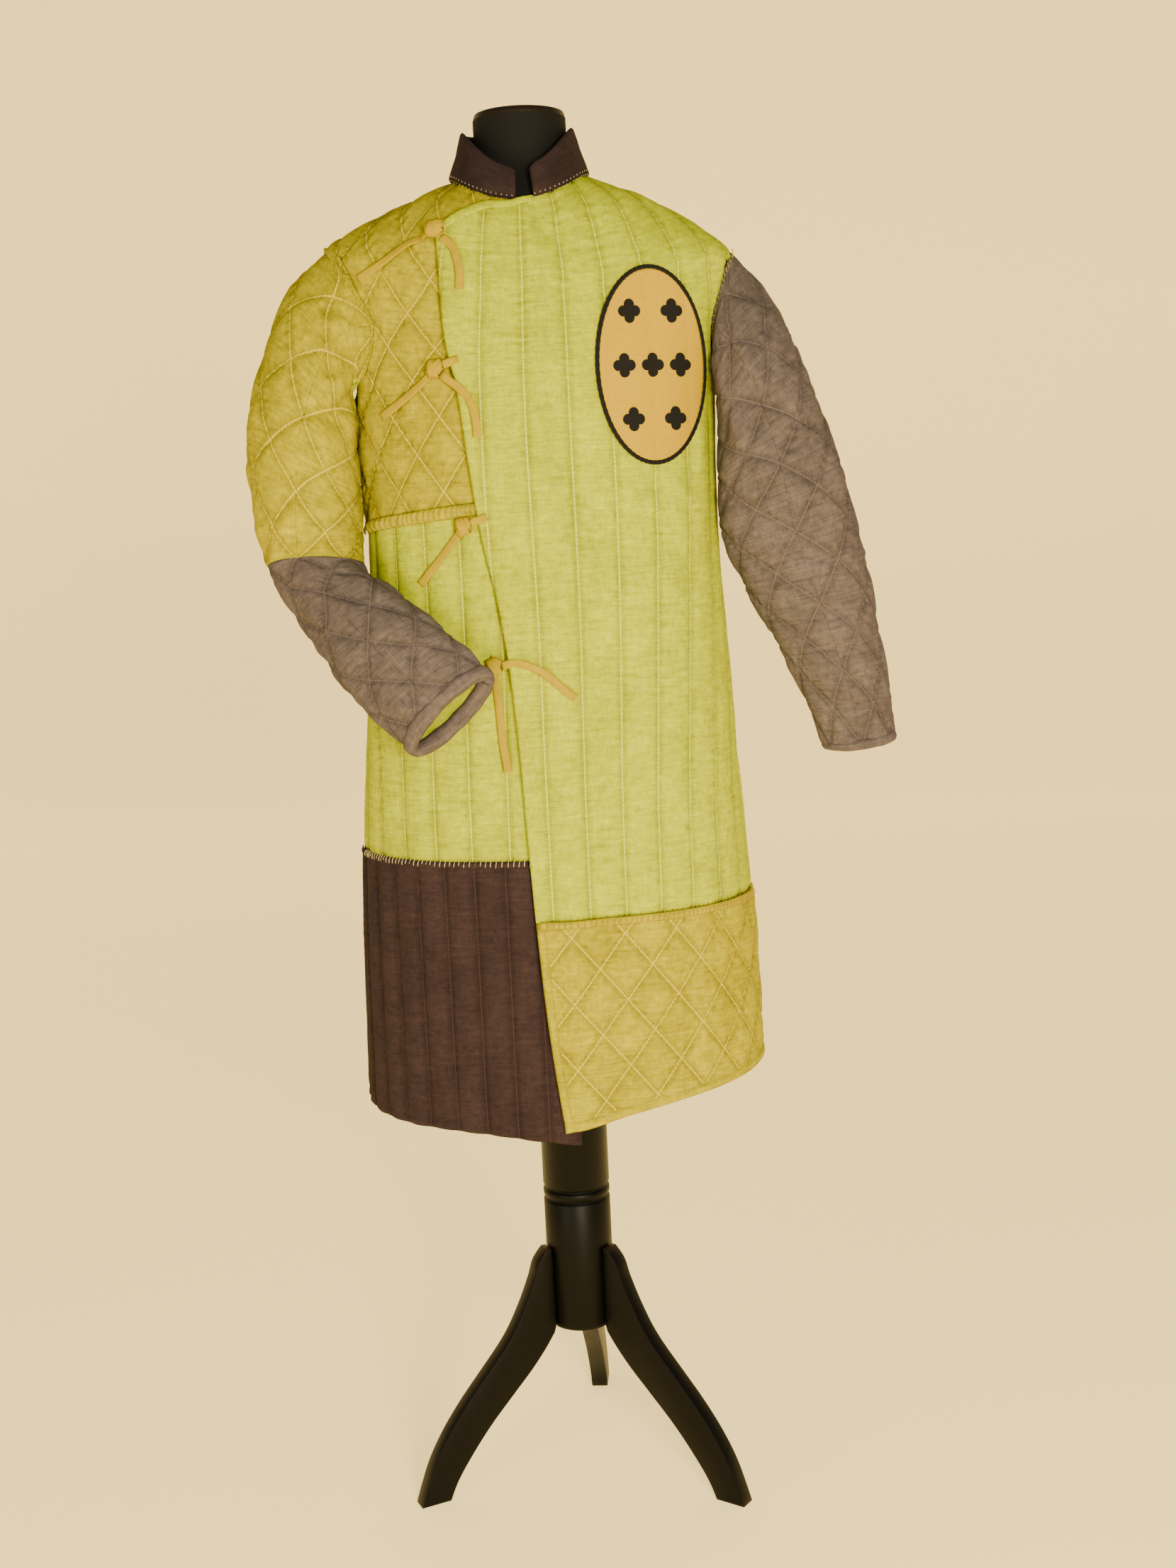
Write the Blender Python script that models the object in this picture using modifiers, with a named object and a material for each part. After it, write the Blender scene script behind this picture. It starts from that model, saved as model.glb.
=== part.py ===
"""Quilted arming coat (gambeson) worn by a limbless dress form on a three-legged stand.

Metres, +Z up, the viewer's side at -Y. Left and right are the wearer's, so the left is at +X.
Every cloth piece is a padded wall: a quilted outer grid of points over a plain, coarser inside.
"""
import math

import bmesh
import bpy
import numpy as np

# Driving sizes; the stand's axis is placed so that the box's bottom centre is the origin
AXIS = (-0.0325, -0.0152, 0.0)
SEAM_GAP = 0.0003
CLOTH = 0.007
QUILT_DEPTH = 0.003
SEAM_DIP = 0.0022
FELT = 0.004
FULLNESS = 0.14
FORM_BOTTOM = 0.470
HEM_LEVEL = 0.500
NECK_LEVEL = 1.606
UNDERLAP_X = 0.012
FIRST_CHANNEL_X = -0.011
OVERLAP_RISE = CLOTH + 0.0018
OVERLAP_FADE = 0.050

# The body's rings from hem to neck, keyed by the ring's height at the side seam
BODY_COLUMNS = ("level", "front_z", "back_z", "half", "front", "back", "shift", "left_rise", "right_rise")
BODY_RINGS = (
    (0.470, 0.470, 0.470, 0.2492, 0.1818, 0.150, -0.0045, 0.000, 0.000),
    (0.620, 0.620, 0.620, 0.2455, 0.1780, 0.150, -0.0045, 0.000, 0.000),
    (0.750, 0.750, 0.750, 0.2410, 0.1730, 0.148, -0.0045, 0.000, 0.000),
    (0.850, 0.850, 0.850, 0.2345, 0.1670, 0.144, -0.0045, 0.000, 0.000),
    (0.950, 0.950, 0.950, 0.2265, 0.1600, 0.138, -0.0035, 0.000, 0.000),
    (1.090, 1.090, 1.090, 0.2165, 0.1500, 0.128, -0.0010, 0.000, 0.000),
    (1.200, 1.200, 1.200, 0.2118, 0.1440, 0.124, -0.0010, 0.000, 0.000),
    (1.300, 1.300, 1.300, 0.2125, 0.1410, 0.128, -0.0020, 0.000, 0.000),
    (1.365, 1.362, 1.368, 0.2155, 0.1380, 0.130, -0.0020, 0.000, 0.002),
    (1.430, 1.412, 1.440, 0.2245, 0.1330, 0.130, -0.0020, 0.000, 0.007),
    (1.485, 1.457, 1.500, 0.2360, 0.1260, 0.122, -0.0025, 0.000, 0.016),
    (1.513, 1.486, 1.538, 0.2390, 0.1200, 0.111, -0.0030, 0.001, 0.021),
    (1.545, 1.514, 1.568, 0.1950, 0.1130, 0.099, -0.0050, 0.004, 0.015),
    (1.575, 1.544, 1.596, 0.1380, 0.1040, 0.087, -0.0070, 0.007, 0.009),
    (1.606, 1.573, 1.620, 0.0745, 0.0880, 0.072, -0.0095, 0.001, 0.001),
)

# Levels of the hem by turn in degrees, from the front's middle towards the wearer's left
HEM_COLUMNS = ("turn", "level")
LEFT_HEM = (
    (-12.0, 0.503), (2.0, 0.504), (11.0, 0.511), (19.0, 0.518), (31.0, 0.526), (51.0, 0.534), (90.0, 0.540),
)
RIGHT_HEM = (
    (-90.0, 0.506), (-51.0, 0.504), (-35.0, 0.503), (-18.0, 0.498), (-10.0, 0.493), (5.0, 0.484),
)
BACK_HEM = ((90.0, 0.540), (135.0, 0.524), (180.0, 0.515), (225.0, 0.510), (270.0, 0.506))

# Free front edge of the left front: height and sideways place
EDGE_COLUMNS = ("level", "x")
EDGE_ROWS = (
    (0.500, -0.006), (0.620, -0.019), (0.750, -0.028), (0.850, -0.033), (0.960, -0.038),
    (1.090, -0.050), (1.200, -0.069), (1.290, -0.080), (1.366, -0.088), (1.420, -0.097),
    (1.500, -0.102), (1.606, -0.106),
)

# How far the left front's neckline drops below the neck ring where it crosses to the right
DROP_COLUMNS = ("x", "drop")
DROP_ROWS = (
    (-0.110, 0.056), (-0.094, 0.044), (-0.067, 0.027), (-0.043, 0.016), (-0.016, 0.0115),
    (-0.008, 0.0085), (0.002, 0.003), (0.008, 0.000), (0.030, 0.000),
)

# Armholes: an oval of the body's side, in turn and level
ARM_LOW = 1.365
ARM_TOP = 1.513
ARM_TURN = {"left_front": math.radians(20.0), "right_front": math.radians(36.0), "back": math.radians(24.0)}
ARM_STEPS = 24

# Seams across the fronts
CHEST_SEAM_SIDE = 1.205
CHEST_SEAM_RISE = 0.026
BROWN_SEAM = 0.822
YELLOW_SEAM = 0.752

# Sleeve tubes: the outer line, the underarm line, and the depths ahead of and behind their middle
SLEEVE_COLUMNS = ("along", "outer_x", "outer_y", "outer_z", "inner_x", "inner_y", "inner_z",
                  "ahead", "behind")
LEFT_SLEEVE = (
    (0.00, 0.241, 0.000, 1.513, 0.226, 0.000, 1.362, 0.062, 0.062),
    (0.06, 0.263, -0.004, 1.488, 0.2210, -0.006, 1.345, 0.067, 0.067),
    (0.13, 0.284, -0.014, 1.453, 0.2150, -0.018, 1.325, 0.071, 0.070),
    (0.21, 0.304, -0.025, 1.413, 0.2090, -0.031, 1.298, 0.072, 0.070),
    (0.30, 0.323, -0.034, 1.360, 0.2062, -0.039, 1.265, 0.070, 0.068),
    (0.42, 0.345, -0.040, 1.296, 0.2060, -0.043, 1.228, 0.066, 0.064),
    (0.52, 0.361, -0.042, 1.236, 0.2075, -0.045, 1.185, 0.061, 0.060),
    (0.62, 0.377, -0.044, 1.172, 0.2240, -0.045, 1.138, 0.056, 0.056),
    (0.72, 0.390, -0.044, 1.108, 0.2495, -0.045, 1.086, 0.050, 0.050),
    (0.82, 0.4000, -0.042, 1.050, 0.2755, -0.043, 1.037, 0.044, 0.044),
    (0.91, 0.4090, -0.038, 0.992, 0.3005, -0.038, 0.985, 0.038, 0.038),
    (1.00, 0.4140, -0.034, 0.932, 0.3235, -0.034, 0.922, 0.034, 0.034),
)
RIGHT_SLEEVE = (
    (0.00, -0.241, 0.000, 1.534, -0.226, 0.000, 1.364, 0.062, 0.062),
    (0.06, -0.268, -0.004, 1.516, -0.2220, -0.006, 1.347, 0.069, 0.067),
    (0.13, -0.297, -0.012, 1.477, -0.2180, -0.017, 1.325, 0.073, 0.070),
    (0.21, -0.3205, -0.022, 1.421, -0.2140, -0.030, 1.298, 0.072, 0.069),
    (0.29, -0.3375, -0.030, 1.365, -0.2115, -0.038, 1.268, 0.069, 0.066),
    (0.38, -0.3465, -0.034, 1.297, -0.2110, -0.042, 1.234, 0.067, 0.064),
    (0.46, -0.3435, -0.034, 1.225, -0.2115, -0.048, 1.200, 0.066, 0.060),
    (0.54, -0.3280, -0.034, 1.160, -0.2110, -0.062, 1.168, 0.062, 0.048),
    (0.61, -0.3030, -0.052, 1.115, -0.1970, -0.084, 1.153, 0.057, 0.033),
    (0.69, -0.2790, -0.080, 1.082, -0.1700, -0.112, 1.139, 0.050, 0.027),
    (0.77, -0.2550, -0.109, 1.050, -0.1410, -0.140, 1.117, 0.043, 0.025),
    (0.85, -0.228, -0.136, 1.017, -0.1130, -0.162, 1.094, 0.037, 0.025),
    (0.93, -0.196, -0.162, 0.986, -0.0870, -0.178, 1.072, 0.032, 0.025),
    (1.00, -0.162, -0.180, 0.955, -0.0650, -0.186, 1.046, 0.029, 0.025),
)
MOUTH_LEAN = {1: 0.0, -1: 0.010}
SLEEVE_SPLIT = 0.54
ARMPIT_DROP = 0.013

# Standing collar above its laid edge
COLLAR_LAID_LEVEL = 1.602
COLLAR_LIFT = -0.0006
COLLAR_COLUMNS = ("up", "side_z", "front_z", "back_z", "half", "front", "back")
COLLAR_RINGS = (
    (0.20, 1.618, 1.581, 1.631, 0.0800, 0.0955, 0.0790),
    (0.50, 1.634, 1.591, 1.646, 0.0745, 0.0905, 0.0740),
    (1.00, 1.661, 1.608, 1.668, 0.0660, 0.0820, 0.0665),
)
COLLAR_SHIFT = -0.009
COLLAR_OPENS_LEFT = math.radians(12.0)
COLLAR_OPENS_RIGHT = math.radians(-2.0)

# Sewn-on oval patch, by its middle and half sizes as seen from the front
PATCH_X = 0.133
PATCH_Z = 1.378
PATCH_HALF_WIDTH = 0.060
PATCH_HALF_HEIGHT = 0.107
PATCH_CLOTH = 0.0010
PATCH_LIFT = 0.0011
BORDER_WIDTH = 0.0050
BORDER_CLOTH = 0.0020

# Ribbon ties: knots by place, tails as routes of places on the fronts
RIBBON_WIDTH = 0.0095
TAIL_UNDER = 0.86
TAIL_OVER = 0.97
TAIL_LIFT = 0.0002
RIBBON_THICK = 0.0018
KNOT_HALF = (0.0110, 0.0058, 0.0095)
CLIMB_START = 0.019
CLIMB_LENGTH = 0.010
TIES = (
    {"name": "tie_1", "on_overlap": True, "knot": (-0.102, 1.533), "stub": None,
     "tails": (((-0.136, 1.526), (-0.167, 1.506), (-0.196, 1.491)),
               ((-0.084, 1.514), (-0.078, 1.492), (-0.078, 1.468)))},
    {"name": "tie_2", "on_overlap": False, "knot": (-0.110, 1.384), "stub": (-0.083, 1.392),
     "tails": (((-0.132, 1.366), (-0.154, 1.350), (-0.178, 1.335)),
               ((-0.076, 1.352), (-0.067, 1.326), (-0.066, 1.305)))},
    {"name": "tie_3", "on_overlap": False, "knot": (-0.088, 1.207), "stub": (-0.060, 1.216),
     "tails": (((-0.104, 1.188), (-0.125, 1.163), (-0.142, 1.143)),)},
    {"name": "tie_4", "on_overlap": False, "knot": (-0.062, 1.047), "stub": None,
     "tails": (((-0.033, 1.050), (-0.007, 1.039), (0.012, 1.022), (0.029, 1.007)),
               ((-0.060, 1.018), (-0.058, 0.988), (-0.056, 0.960), (-0.051, 0.927)))},
)

# Dress form and stand
FORM_COLUMNS = ("level", "inset")
FORM_RINGS = (
    (0.800, 0.060), (0.850, 0.046), (0.930, 0.040), (1.050, 0.042), (1.200, 0.032), (1.320, 0.026),
    (1.420, 0.024), (1.480, 0.022), (1.513, 0.018), (1.536, 0.0130), (1.5595, 0.0105), (1.583, 0.0105),
    (1.606, 0.0115),
)
NECK_RADIUS = 0.0545
NECK_SHIFT = -0.006
NECK_RINGS = (1.636, 1.655, 1.672)
CAP_TOP = 1.680
COLUMN_RADIUS = 0.042
COLUMN_BOTTOM = 0.190
COLUMN_TOP = 0.800
GROOVES = (0.3600, 0.3735)
LEG_THICK = 0.022
REAR_LEG_TURN = 90.0 - 4.6
LEG_COLUMNS = ("height", "outer", "inner")
LEG_ROWS = (
    (0.000, 0.2360, 0.1975), (0.020, 0.2290, 0.1880), (0.054, 0.2150, 0.1640), (0.087, 0.1950, 0.1360),
    (0.118, 0.1710, 0.1050), (0.149, 0.1430, 0.0740), (0.180, 0.1150, 0.0490), (0.190, 0.1070, 0.0425),
    (0.225, 0.0860, 0.0425), (0.262, 0.0690, 0.0425), (0.285, 0.0600, 0.0425), (0.297, 0.0490, 0.0435),
)

# Colours, roughness
LIME = (0.55, 0.57, 0.10)
GOLD = (0.62, 0.48, 0.02)
TAUPE = (0.16, 0.12, 0.10)
BROWN = (0.075, 0.030, 0.024)
MARIGOLD = (0.85, 0.45, 0.02)
BLACK_CLOTH = (0.012, 0.012, 0.014)
BLACK_PAINT = (0.010, 0.010, 0.011)
BEECH = (0.30, 0.18, 0.08)


def clear_scene():
    for old in list(bpy.data.objects):
        bpy.data.objects.remove(old)


def collection(name):
    made = bpy.data.collections.new(name)
    bpy.context.scene.collection.children.link(made)
    return made


def material(name, color, roughness):
    made = bpy.data.materials.new(name)
    made.use_nodes = True
    shader = made.node_tree.nodes["Principled BSDF"]
    shader.inputs["Base Color"].default_value = (*color, 1.0)
    shader.inputs["Roughness"].default_value = roughness
    shader.inputs["Metallic"].default_value = 0.0
    return made


def smooth_column(rows, columns, name, at):
    """A column of a table read at any key by a smooth curve through its rows."""
    table = np.array(rows, dtype=float)
    keys, values = table[:, 0], table[:, columns.index(name)]
    slopes = np.gradient(values, keys)
    at = np.clip(np.asarray(at, dtype=float), keys[0], keys[-1])
    low = np.clip(np.searchsorted(keys, at) - 1, 0, len(keys) - 2)
    span = keys[low + 1] - keys[low]
    t = (at - keys[low]) / span
    return ((2 * t**3 - 3 * t**2 + 1) * values[low] + (t**3 - 2 * t**2 + t) * span * slopes[low]
            + (3 * t**2 - 2 * t**3) * values[low + 1] + (t**3 - t**2) * span * slopes[low + 1])


def ease(t):
    t = np.clip(t, 0.0, 1.0)
    return t * t * (3.0 - 2.0 * t)


def unit(vectors):
    return vectors / np.linalg.norm(vectors, axis=-1, keepdims=True)


def body(turn, level):
    """The coat's outer form: turn 0 is the front, a quarter turn the left side."""
    turn, level = np.broadcast_arrays(np.asarray(turn, float), np.asarray(level, float))
    ring = {name: smooth_column(BODY_RINGS, BODY_COLUMNS, name, level) for name in BODY_COLUMNS[1:]}
    ahead, aside = np.cos(turn), np.sin(turn)
    depth = np.where(ahead > 0, ring["front"], ring["back"])
    end_z = np.where(ahead > 0, ring["front_z"], ring["back_z"])
    x = ring["shift"] + ring["half"] * aside
    y = -depth * ahead * (1.0 + FULLNESS * aside**2)
    rise = np.where(aside > 0, ring["left_rise"], ring["right_rise"])
    z = level + (end_z - level) * ahead**2 + rise * aside**2
    return np.stack([x, y, z], axis=-1)


def body_normal(turn, level):
    step = 1e-4
    level = np.clip(level, FORM_BOTTOM + step, NECK_LEVEL - step)
    around = body(turn + step, level) - body(turn - step, level)
    upward = body(turn, level + step) - body(turn, level - step)
    return unit(np.cross(around, upward))


def at_front(x, z):
    """Turn and level of the front place that is seen at x, z."""
    level = np.asarray(z, float) + 0.0
    turn = np.zeros_like(level)
    for _ in range(30):
        half = smooth_column(BODY_RINGS, BODY_COLUMNS, "half", level)
        shift = smooth_column(BODY_RINGS, BODY_COLUMNS, "shift", level)
        turn = np.arcsin(np.clip((np.asarray(x, float) - shift) / half, -0.999, 0.999))
        level = np.clip(level + 0.7 * (z - body(turn, level)[..., 2]), FORM_BOTTOM, NECK_LEVEL)
    return turn, level


def turn_of_x(x, level):
    half = smooth_column(BODY_RINGS, BODY_COLUMNS, "half", level)
    shift = smooth_column(BODY_RINGS, BODY_COLUMNS, "shift", level)
    return np.arcsin(np.clip((x - shift) / half, -1, 1))


def underlap_x(level):
    """Sideways place of the right front's hidden edge, which draws back below the collar."""
    return UNDERLAP_X - 0.026 * ease((np.asarray(level) - 1.52) / 0.06)


def overlap_edge(level):
    return turn_of_x(smooth_column(EDGE_ROWS, EDGE_COLUMNS, "x", level), level)


def overlap_rise(turn, level):
    """How far the left front stands out where it lies over the right front."""
    x = body(turn, level)[..., 0]
    fade = OVERLAP_FADE - 0.026 * ease((level - 1.52) / 0.06)
    return OVERLAP_RISE * (1.0 - ease((x - underlap_x(level) - 0.002) / fade))


def even_arc(share, start, end):
    """Turns that divide a side of the body in equal widths, between two turns."""
    turn = start + (end - start) * share
    return turn - 0.055 * np.sin(2.0 * turn) + 0.055 * (
        np.sin(2.0 * start) * (1 - share) + np.sin(2.0 * end) * share)


def seam_shift(turn_depth):
    return 0.5 * SEAM_GAP / turn_depth


def arm_rows(lower_rows, upper_rows, bottom):
    """Row levels at a side seam, round its armhole and up its shoulder, with the armhole's swing."""
    swing = np.linspace(-0.5 * math.pi, 0.5 * math.pi, ARM_STEPS // 2 + 1)
    low = np.linspace(bottom, ARM_LOW, lower_rows + 1)[:-1]
    hole = 0.5 * (ARM_LOW + ARM_TOP) + 0.5 * (ARM_TOP - ARM_LOW) * np.sin(swing)
    high = np.linspace(ARM_TOP, NECK_LEVEL, upper_rows + 1)[1:]
    side = np.concatenate([low, hole, high])
    turned = np.concatenate([0 * low, np.cos(swing), 0 * high])
    middle = np.concatenate([low, np.linspace(ARM_LOW, NECK_LEVEL, len(hole) + len(high))])
    return side, middle, turned


def side_turn(turned, part):
    """Turn short of a quarter at a side, with half the seam's gap."""
    return ARM_TURN[part] * turned + seam_shift(0.11)


def channel_relief(steps):
    """Relief of quilted channels: four steps each, stitched down at every fourth."""
    profile = np.array([-1.0, -0.28, 0.0, -0.28])
    return QUILT_DEPTH * profile[np.arange(steps + 1) % 4]


def diamond_relief(row_share, column_share, rows, columns):
    """Relief of a diamond quilt with stitch lines both ways across the grid."""
    one = column_share * columns + row_share * rows
    two = column_share * columns - row_share * rows
    near = np.minimum(np.abs(one - np.round(one)), np.abs(two - np.round(two))) * 2.0
    return -QUILT_DEPTH * (1.0 - np.clip(near, 0, 1)) ** 2


def dip_edges(relief, sides="lrtb"):
    relief = np.array(relief)
    if "b" in sides:
        relief[0] = -SEAM_DIP
    if "t" in sides:
        relief[-1] = -SEAM_DIP
    if "l" in sides:
        relief[:, 0] = -SEAM_DIP
    if "r" in sides:
        relief[:, -1] = -SEAM_DIP
    return relief


def solid(name, points, faces, coat):
    """One closed body from points and faces, with its faces turned outwards."""
    points = np.asarray(points, float)
    volume = 0.0
    for face in faces:
        for k in range(1, len(face) - 1):
            a, b, c = points[face[0]], points[face[k]], points[face[k + 1]]
            volume += float(np.dot(a, np.cross(b, c)))
    if volume < 0:
        faces = [face[::-1] for face in faces]
    mesh = bpy.data.meshes.new(name)
    mesh.from_pydata([tuple(p) for p in points], [], faces)
    mesh.shade_smooth()
    mesh.set_sharp_from_angle(angle=math.radians(40))
    return place(name, mesh, coat)


def place(name, data, coat):
    made = bpy.data.objects.new(name, data)
    made.location = AXIS
    data.materials.append(coat)
    GARMENT.objects.link(made)
    return made


def split_quads(ids, points, rows, columns, turned_over):
    """Two triangles a cell, split along its lower diagonal so that stitch lines stay sharp."""
    faces = []
    width = ids.shape[1]
    for i in range(rows):
        for j in range(columns):
            a, b = ids[i, j], ids[i, (j + 1) % width]
            d, c = ids[i + 1, j], ids[i + 1, (j + 1) % width]
            short = np.linalg.norm(points[a] - points[c]) <= np.linalg.norm(points[b] - points[d])
            pair = [(a, b, c), (a, c, d)] if short else [(a, b, d), (b, c, d)]
            faces += [face[::-1] for face in pair] if turned_over else pair
    return faces


def zip_edges(outer_ids, inner_ids):
    """Edge strip between an outer border and an inner one that has every second point."""
    faces = []
    for k in range(len(inner_ids) - 1):
        o0, o1, o2 = outer_ids[2 * k], outer_ids[2 * k + 1], outer_ids[2 * k + 2]
        i0, i1 = inner_ids[k], inner_ids[k + 1]
        faces += [(o1, o0, i0), (o1, i0, i1), (o2, o1, i1)]
    return faces


def wall(name, outer, inner, coat, closed=False):
    """Closed wall between an outer grid and an inner grid of every second row and column."""
    rows, inner_rows = outer.shape[0] - 1, inner.shape[0] - 1
    columns = outer.shape[1] if closed else outer.shape[1] - 1
    inner_columns = inner.shape[1] if closed else inner.shape[1] - 1
    points = np.concatenate([outer.reshape(-1, 3), inner.reshape(-1, 3)])
    outer_ids = np.arange(outer.shape[0] * outer.shape[1]).reshape(outer.shape[:2])
    inner_ids = outer_ids.size + np.arange(inner.shape[0] * inner.shape[1]).reshape(inner.shape[:2])
    faces = split_quads(outer_ids, points, rows, columns, False)
    faces += split_quads(inner_ids, points, inner_rows, inner_columns, True)
    if closed:
        outer_ids = np.concatenate([outer_ids, outer_ids[:, :1]], axis=1)
        inner_ids = np.concatenate([inner_ids, inner_ids[:, :1]], axis=1)
    faces += zip_edges(outer_ids[0], inner_ids[0])
    faces += zip_edges(outer_ids[-1, ::-1], inner_ids[-1, ::-1])
    if not closed:
        faces += zip_edges(outer_ids[:, -1], inner_ids[:, -1])
        faces += zip_edges(outer_ids[::-1, 0], inner_ids[::-1, 0])
    return solid(name, points, [tuple(int(k) for k in face) for face in faces], coat)


def panel(name, turns, levels, offset, relief, coat, thick=CLOTH):
    """A cloth piece laid on the body's form, by the turn and level of each outer point."""
    outer_at = body(turns, levels)
    normals = body_normal(turns, levels)
    outer = outer_at + normals * (offset + relief)[..., None]
    inner = outer_at + normals * (offset - thick)[..., None]
    return wall(name, outer, inner[::2, ::2], coat)


def front_rows(side_levels, middle_levels, share):
    """Row levels across a front: the armhole's at the side, even ones at the middle."""
    blend = np.clip(share, 0, 1)[None, :] ** 1.5
    return middle_levels[:, None] * (1 - blend) + side_levels[:, None] * blend


def bend_to_armhole(turned, share):
    """Turns taken back from a side round its armhole, fading towards the middle."""
    return turned[:, None] * (np.clip((share - 0.2) / 0.8, 0, 1) ** 1.5)[None, :]


def below_neckline(levels, x):
    """Rows drawn down under the left front's neckline, which drops where it crosses over."""
    top = NECK_LEVEL - smooth_column(DROP_ROWS, DROP_COLUMNS, "drop", x)
    start = 1.47
    return np.where(levels > start, start + (levels - start) * (top - start) / (NECK_LEVEL - start), levels)


def left_front(coat):
    side, middle, turned = arm_rows(8, 4, YELLOW_SEAM + 0.5 * SEAM_GAP)
    crossing, main = 6, 24
    share = np.linspace(0, 1, main + 1)
    levels_main = front_rows(side, middle, share)
    first = turn_of_x(FIRST_CHANNEL_X, levels_main[:, :1])
    end = 0.5 * math.pi
    bend = bend_to_armhole(side_turn(turned, "left_front"), share)
    turns_main = even_arc(share[None, :], first, end) - bend
    levels_main = below_neckline(levels_main, body(turns_main, levels_main)[..., 0])
    part = np.linspace(0, 1, crossing + 1)[None, :-1]
    levels_cross = np.repeat(middle[:, None], crossing, axis=1)
    for _ in range(4):
        edge = smooth_column(EDGE_ROWS, EDGE_COLUMNS, "x", levels_cross[:, :1])
        x = edge + (FIRST_CHANNEL_X - edge) * part
        levels_cross = below_neckline(np.repeat(middle[:, None], crossing, axis=1), x)
    turns = np.concatenate([turn_of_x(x, levels_cross), turns_main], axis=1)
    levels = np.concatenate([levels_cross, levels_main], axis=1)
    band = np.array([-0.5, -0.1, -0.9, -0.2, -0.8, -0.2]) * QUILT_DEPTH
    relief = np.concatenate([band, channel_relief(main)])[None, :] + 0 * levels
    offset = overlap_rise(turns, levels)
    return panel("left_front", turns, levels, offset, dip_edges(relief, "rtb"), coat)


def plain_grid(start, end, bottom, top, rows, columns):
    """Turns and levels of a piece without an armhole; its borders may vary with level or turn."""
    share = np.linspace(0, 1, columns + 1)[None, :]
    up = np.linspace(0, 1, rows + 1)[:, None]
    turns = even_arc(share, start, end) + 0 * up
    levels = bottom + (top - bottom) * up + 0 * share
    return turns, levels


def hem_level(rows, turns):
    return smooth_column(rows, HEM_COLUMNS, "level", np.degrees(turns))


def left_front_hem(coat):
    rows, columns = 12, 22
    top = YELLOW_SEAM - 0.5 * SEAM_GAP
    rough = np.linspace(HEM_LEVEL, top, rows + 1)[:, None]
    turns, _ = plain_grid(overlap_edge(rough), 0.5 * math.pi - seam_shift(0.17), HEM_LEVEL, top, rows, columns)
    bottom = hem_level(LEFT_HEM, turns)
    levels = bottom + (top - bottom) * np.linspace(0, 1, rows + 1)[:, None]
    relief = diamond_relief(np.linspace(0, 1, rows + 1)[:, None],
                            np.linspace(0, 1, columns + 1)[None, :], rows / 4, columns / 4)
    relief[:2] = 0.0
    relief[:, :2] = 0.0
    relief[1:, 1] = -0.8 * QUILT_DEPTH
    relief[1, 1:] = -0.8 * QUILT_DEPTH
    offset = overlap_rise(turns, levels)
    return panel("left_front_hem", turns, levels, offset, dip_edges(relief, "rt"), coat)


def chest_seam(turns):
    """Level of the seam under the chest piece, which rises evenly to the front edge."""
    return CHEST_SEAM_SIDE + CHEST_SEAM_RISE * (1.0 + turns / (0.5 * math.pi))


def underlap_turn(level):
    return turn_of_x(underlap_x(level), level)


def right_front_chest(coat):
    side, middle, turned = arm_rows(8, 4, CHEST_SEAM_SIDE + 0.5 * SEAM_GAP)
    columns = 20
    share = np.linspace(0, 1, columns + 1)
    levels = front_rows(side, middle, share)
    start = underlap_turn(levels[:, :1])
    bend = bend_to_armhole(side_turn(turned, "right_front"), share)
    turns = even_arc(share[None, :], start, -0.5 * math.pi) + bend
    low = np.clip((ARM_LOW - levels) / (ARM_LOW - CHEST_SEAM_SIDE), 0, 1)
    levels = levels + low * (chest_seam(turns) - CHEST_SEAM_SIDE)
    up = (levels - CHEST_SEAM_SIDE) / 0.078
    relief = diamond_relief(up, share[None, :], 1.0, columns / 4)
    turns, levels, relief = turns[:, ::-1], levels[:, ::-1], relief[:, ::-1]
    return panel("right_front_chest", turns, levels, 0 * levels, dip_edges(relief), coat)


def right_front_middle(coat):
    rows, columns = 6, 24
    bottom = BROWN_SEAM + 0.5 * SEAM_GAP
    start = -0.5 * math.pi + seam_shift(0.15)
    rough = np.linspace(bottom, CHEST_SEAM_SIDE, rows + 1)[:, None]
    turns, _ = plain_grid(start, underlap_turn(rough), bottom, CHEST_SEAM_SIDE, rows, columns)
    levels = bottom + (chest_seam(turns) - 0.5 * SEAM_GAP - bottom) * np.linspace(0, 1, rows + 1)[:, None]
    relief = channel_relief(columns)[None, :] + 0 * levels
    return panel("right_front_middle", turns, levels, 0 * levels, dip_edges(relief), coat)


def right_front_hem(coat):
    rows, columns = 4, 32
    top = BROWN_SEAM - 0.5 * SEAM_GAP
    start = -0.5 * math.pi + seam_shift(0.17)
    rough = np.linspace(HEM_LEVEL, top, rows + 1)[:, None]
    turns, _ = plain_grid(start, underlap_turn(rough), HEM_LEVEL, top, rows, columns)
    bottom = hem_level(RIGHT_HEM, turns)
    levels = bottom + (top - bottom) * np.linspace(0, 1, rows + 1)[:, None]
    relief = channel_relief(columns)[None, :] + 0 * levels
    relief[0] = 0.0
    return panel("right_front_hem", turns, levels, 0 * levels, dip_edges(relief, "lr"), coat)


def back(coat):
    side, middle, turned = arm_rows(10, 4, HEM_LEVEL)
    columns = 48
    share = np.linspace(0, 1, columns + 1)
    from_middle = np.abs(2.0 * share - 1.0)
    levels = front_rows(side, middle, from_middle)
    swing = bend_to_armhole(side_turn(turned, "back"), from_middle) * np.sign(1.0 - 2.0 * share)[None, :]
    turns = even_arc(share, 0.5 * math.pi, 1.5 * math.pi)[None, :] + swing
    low = np.clip((ARM_LOW - levels) / (ARM_LOW - HEM_LEVEL), 0, 1)
    levels = levels + low * (hem_level(BACK_HEM, turns) - HEM_LEVEL)
    relief = channel_relief(columns)[None, :] + 0 * levels
    relief[0] = 0.0
    return panel("back", turns, levels, 0 * levels, dip_edges(relief, "lrt"), coat)


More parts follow.
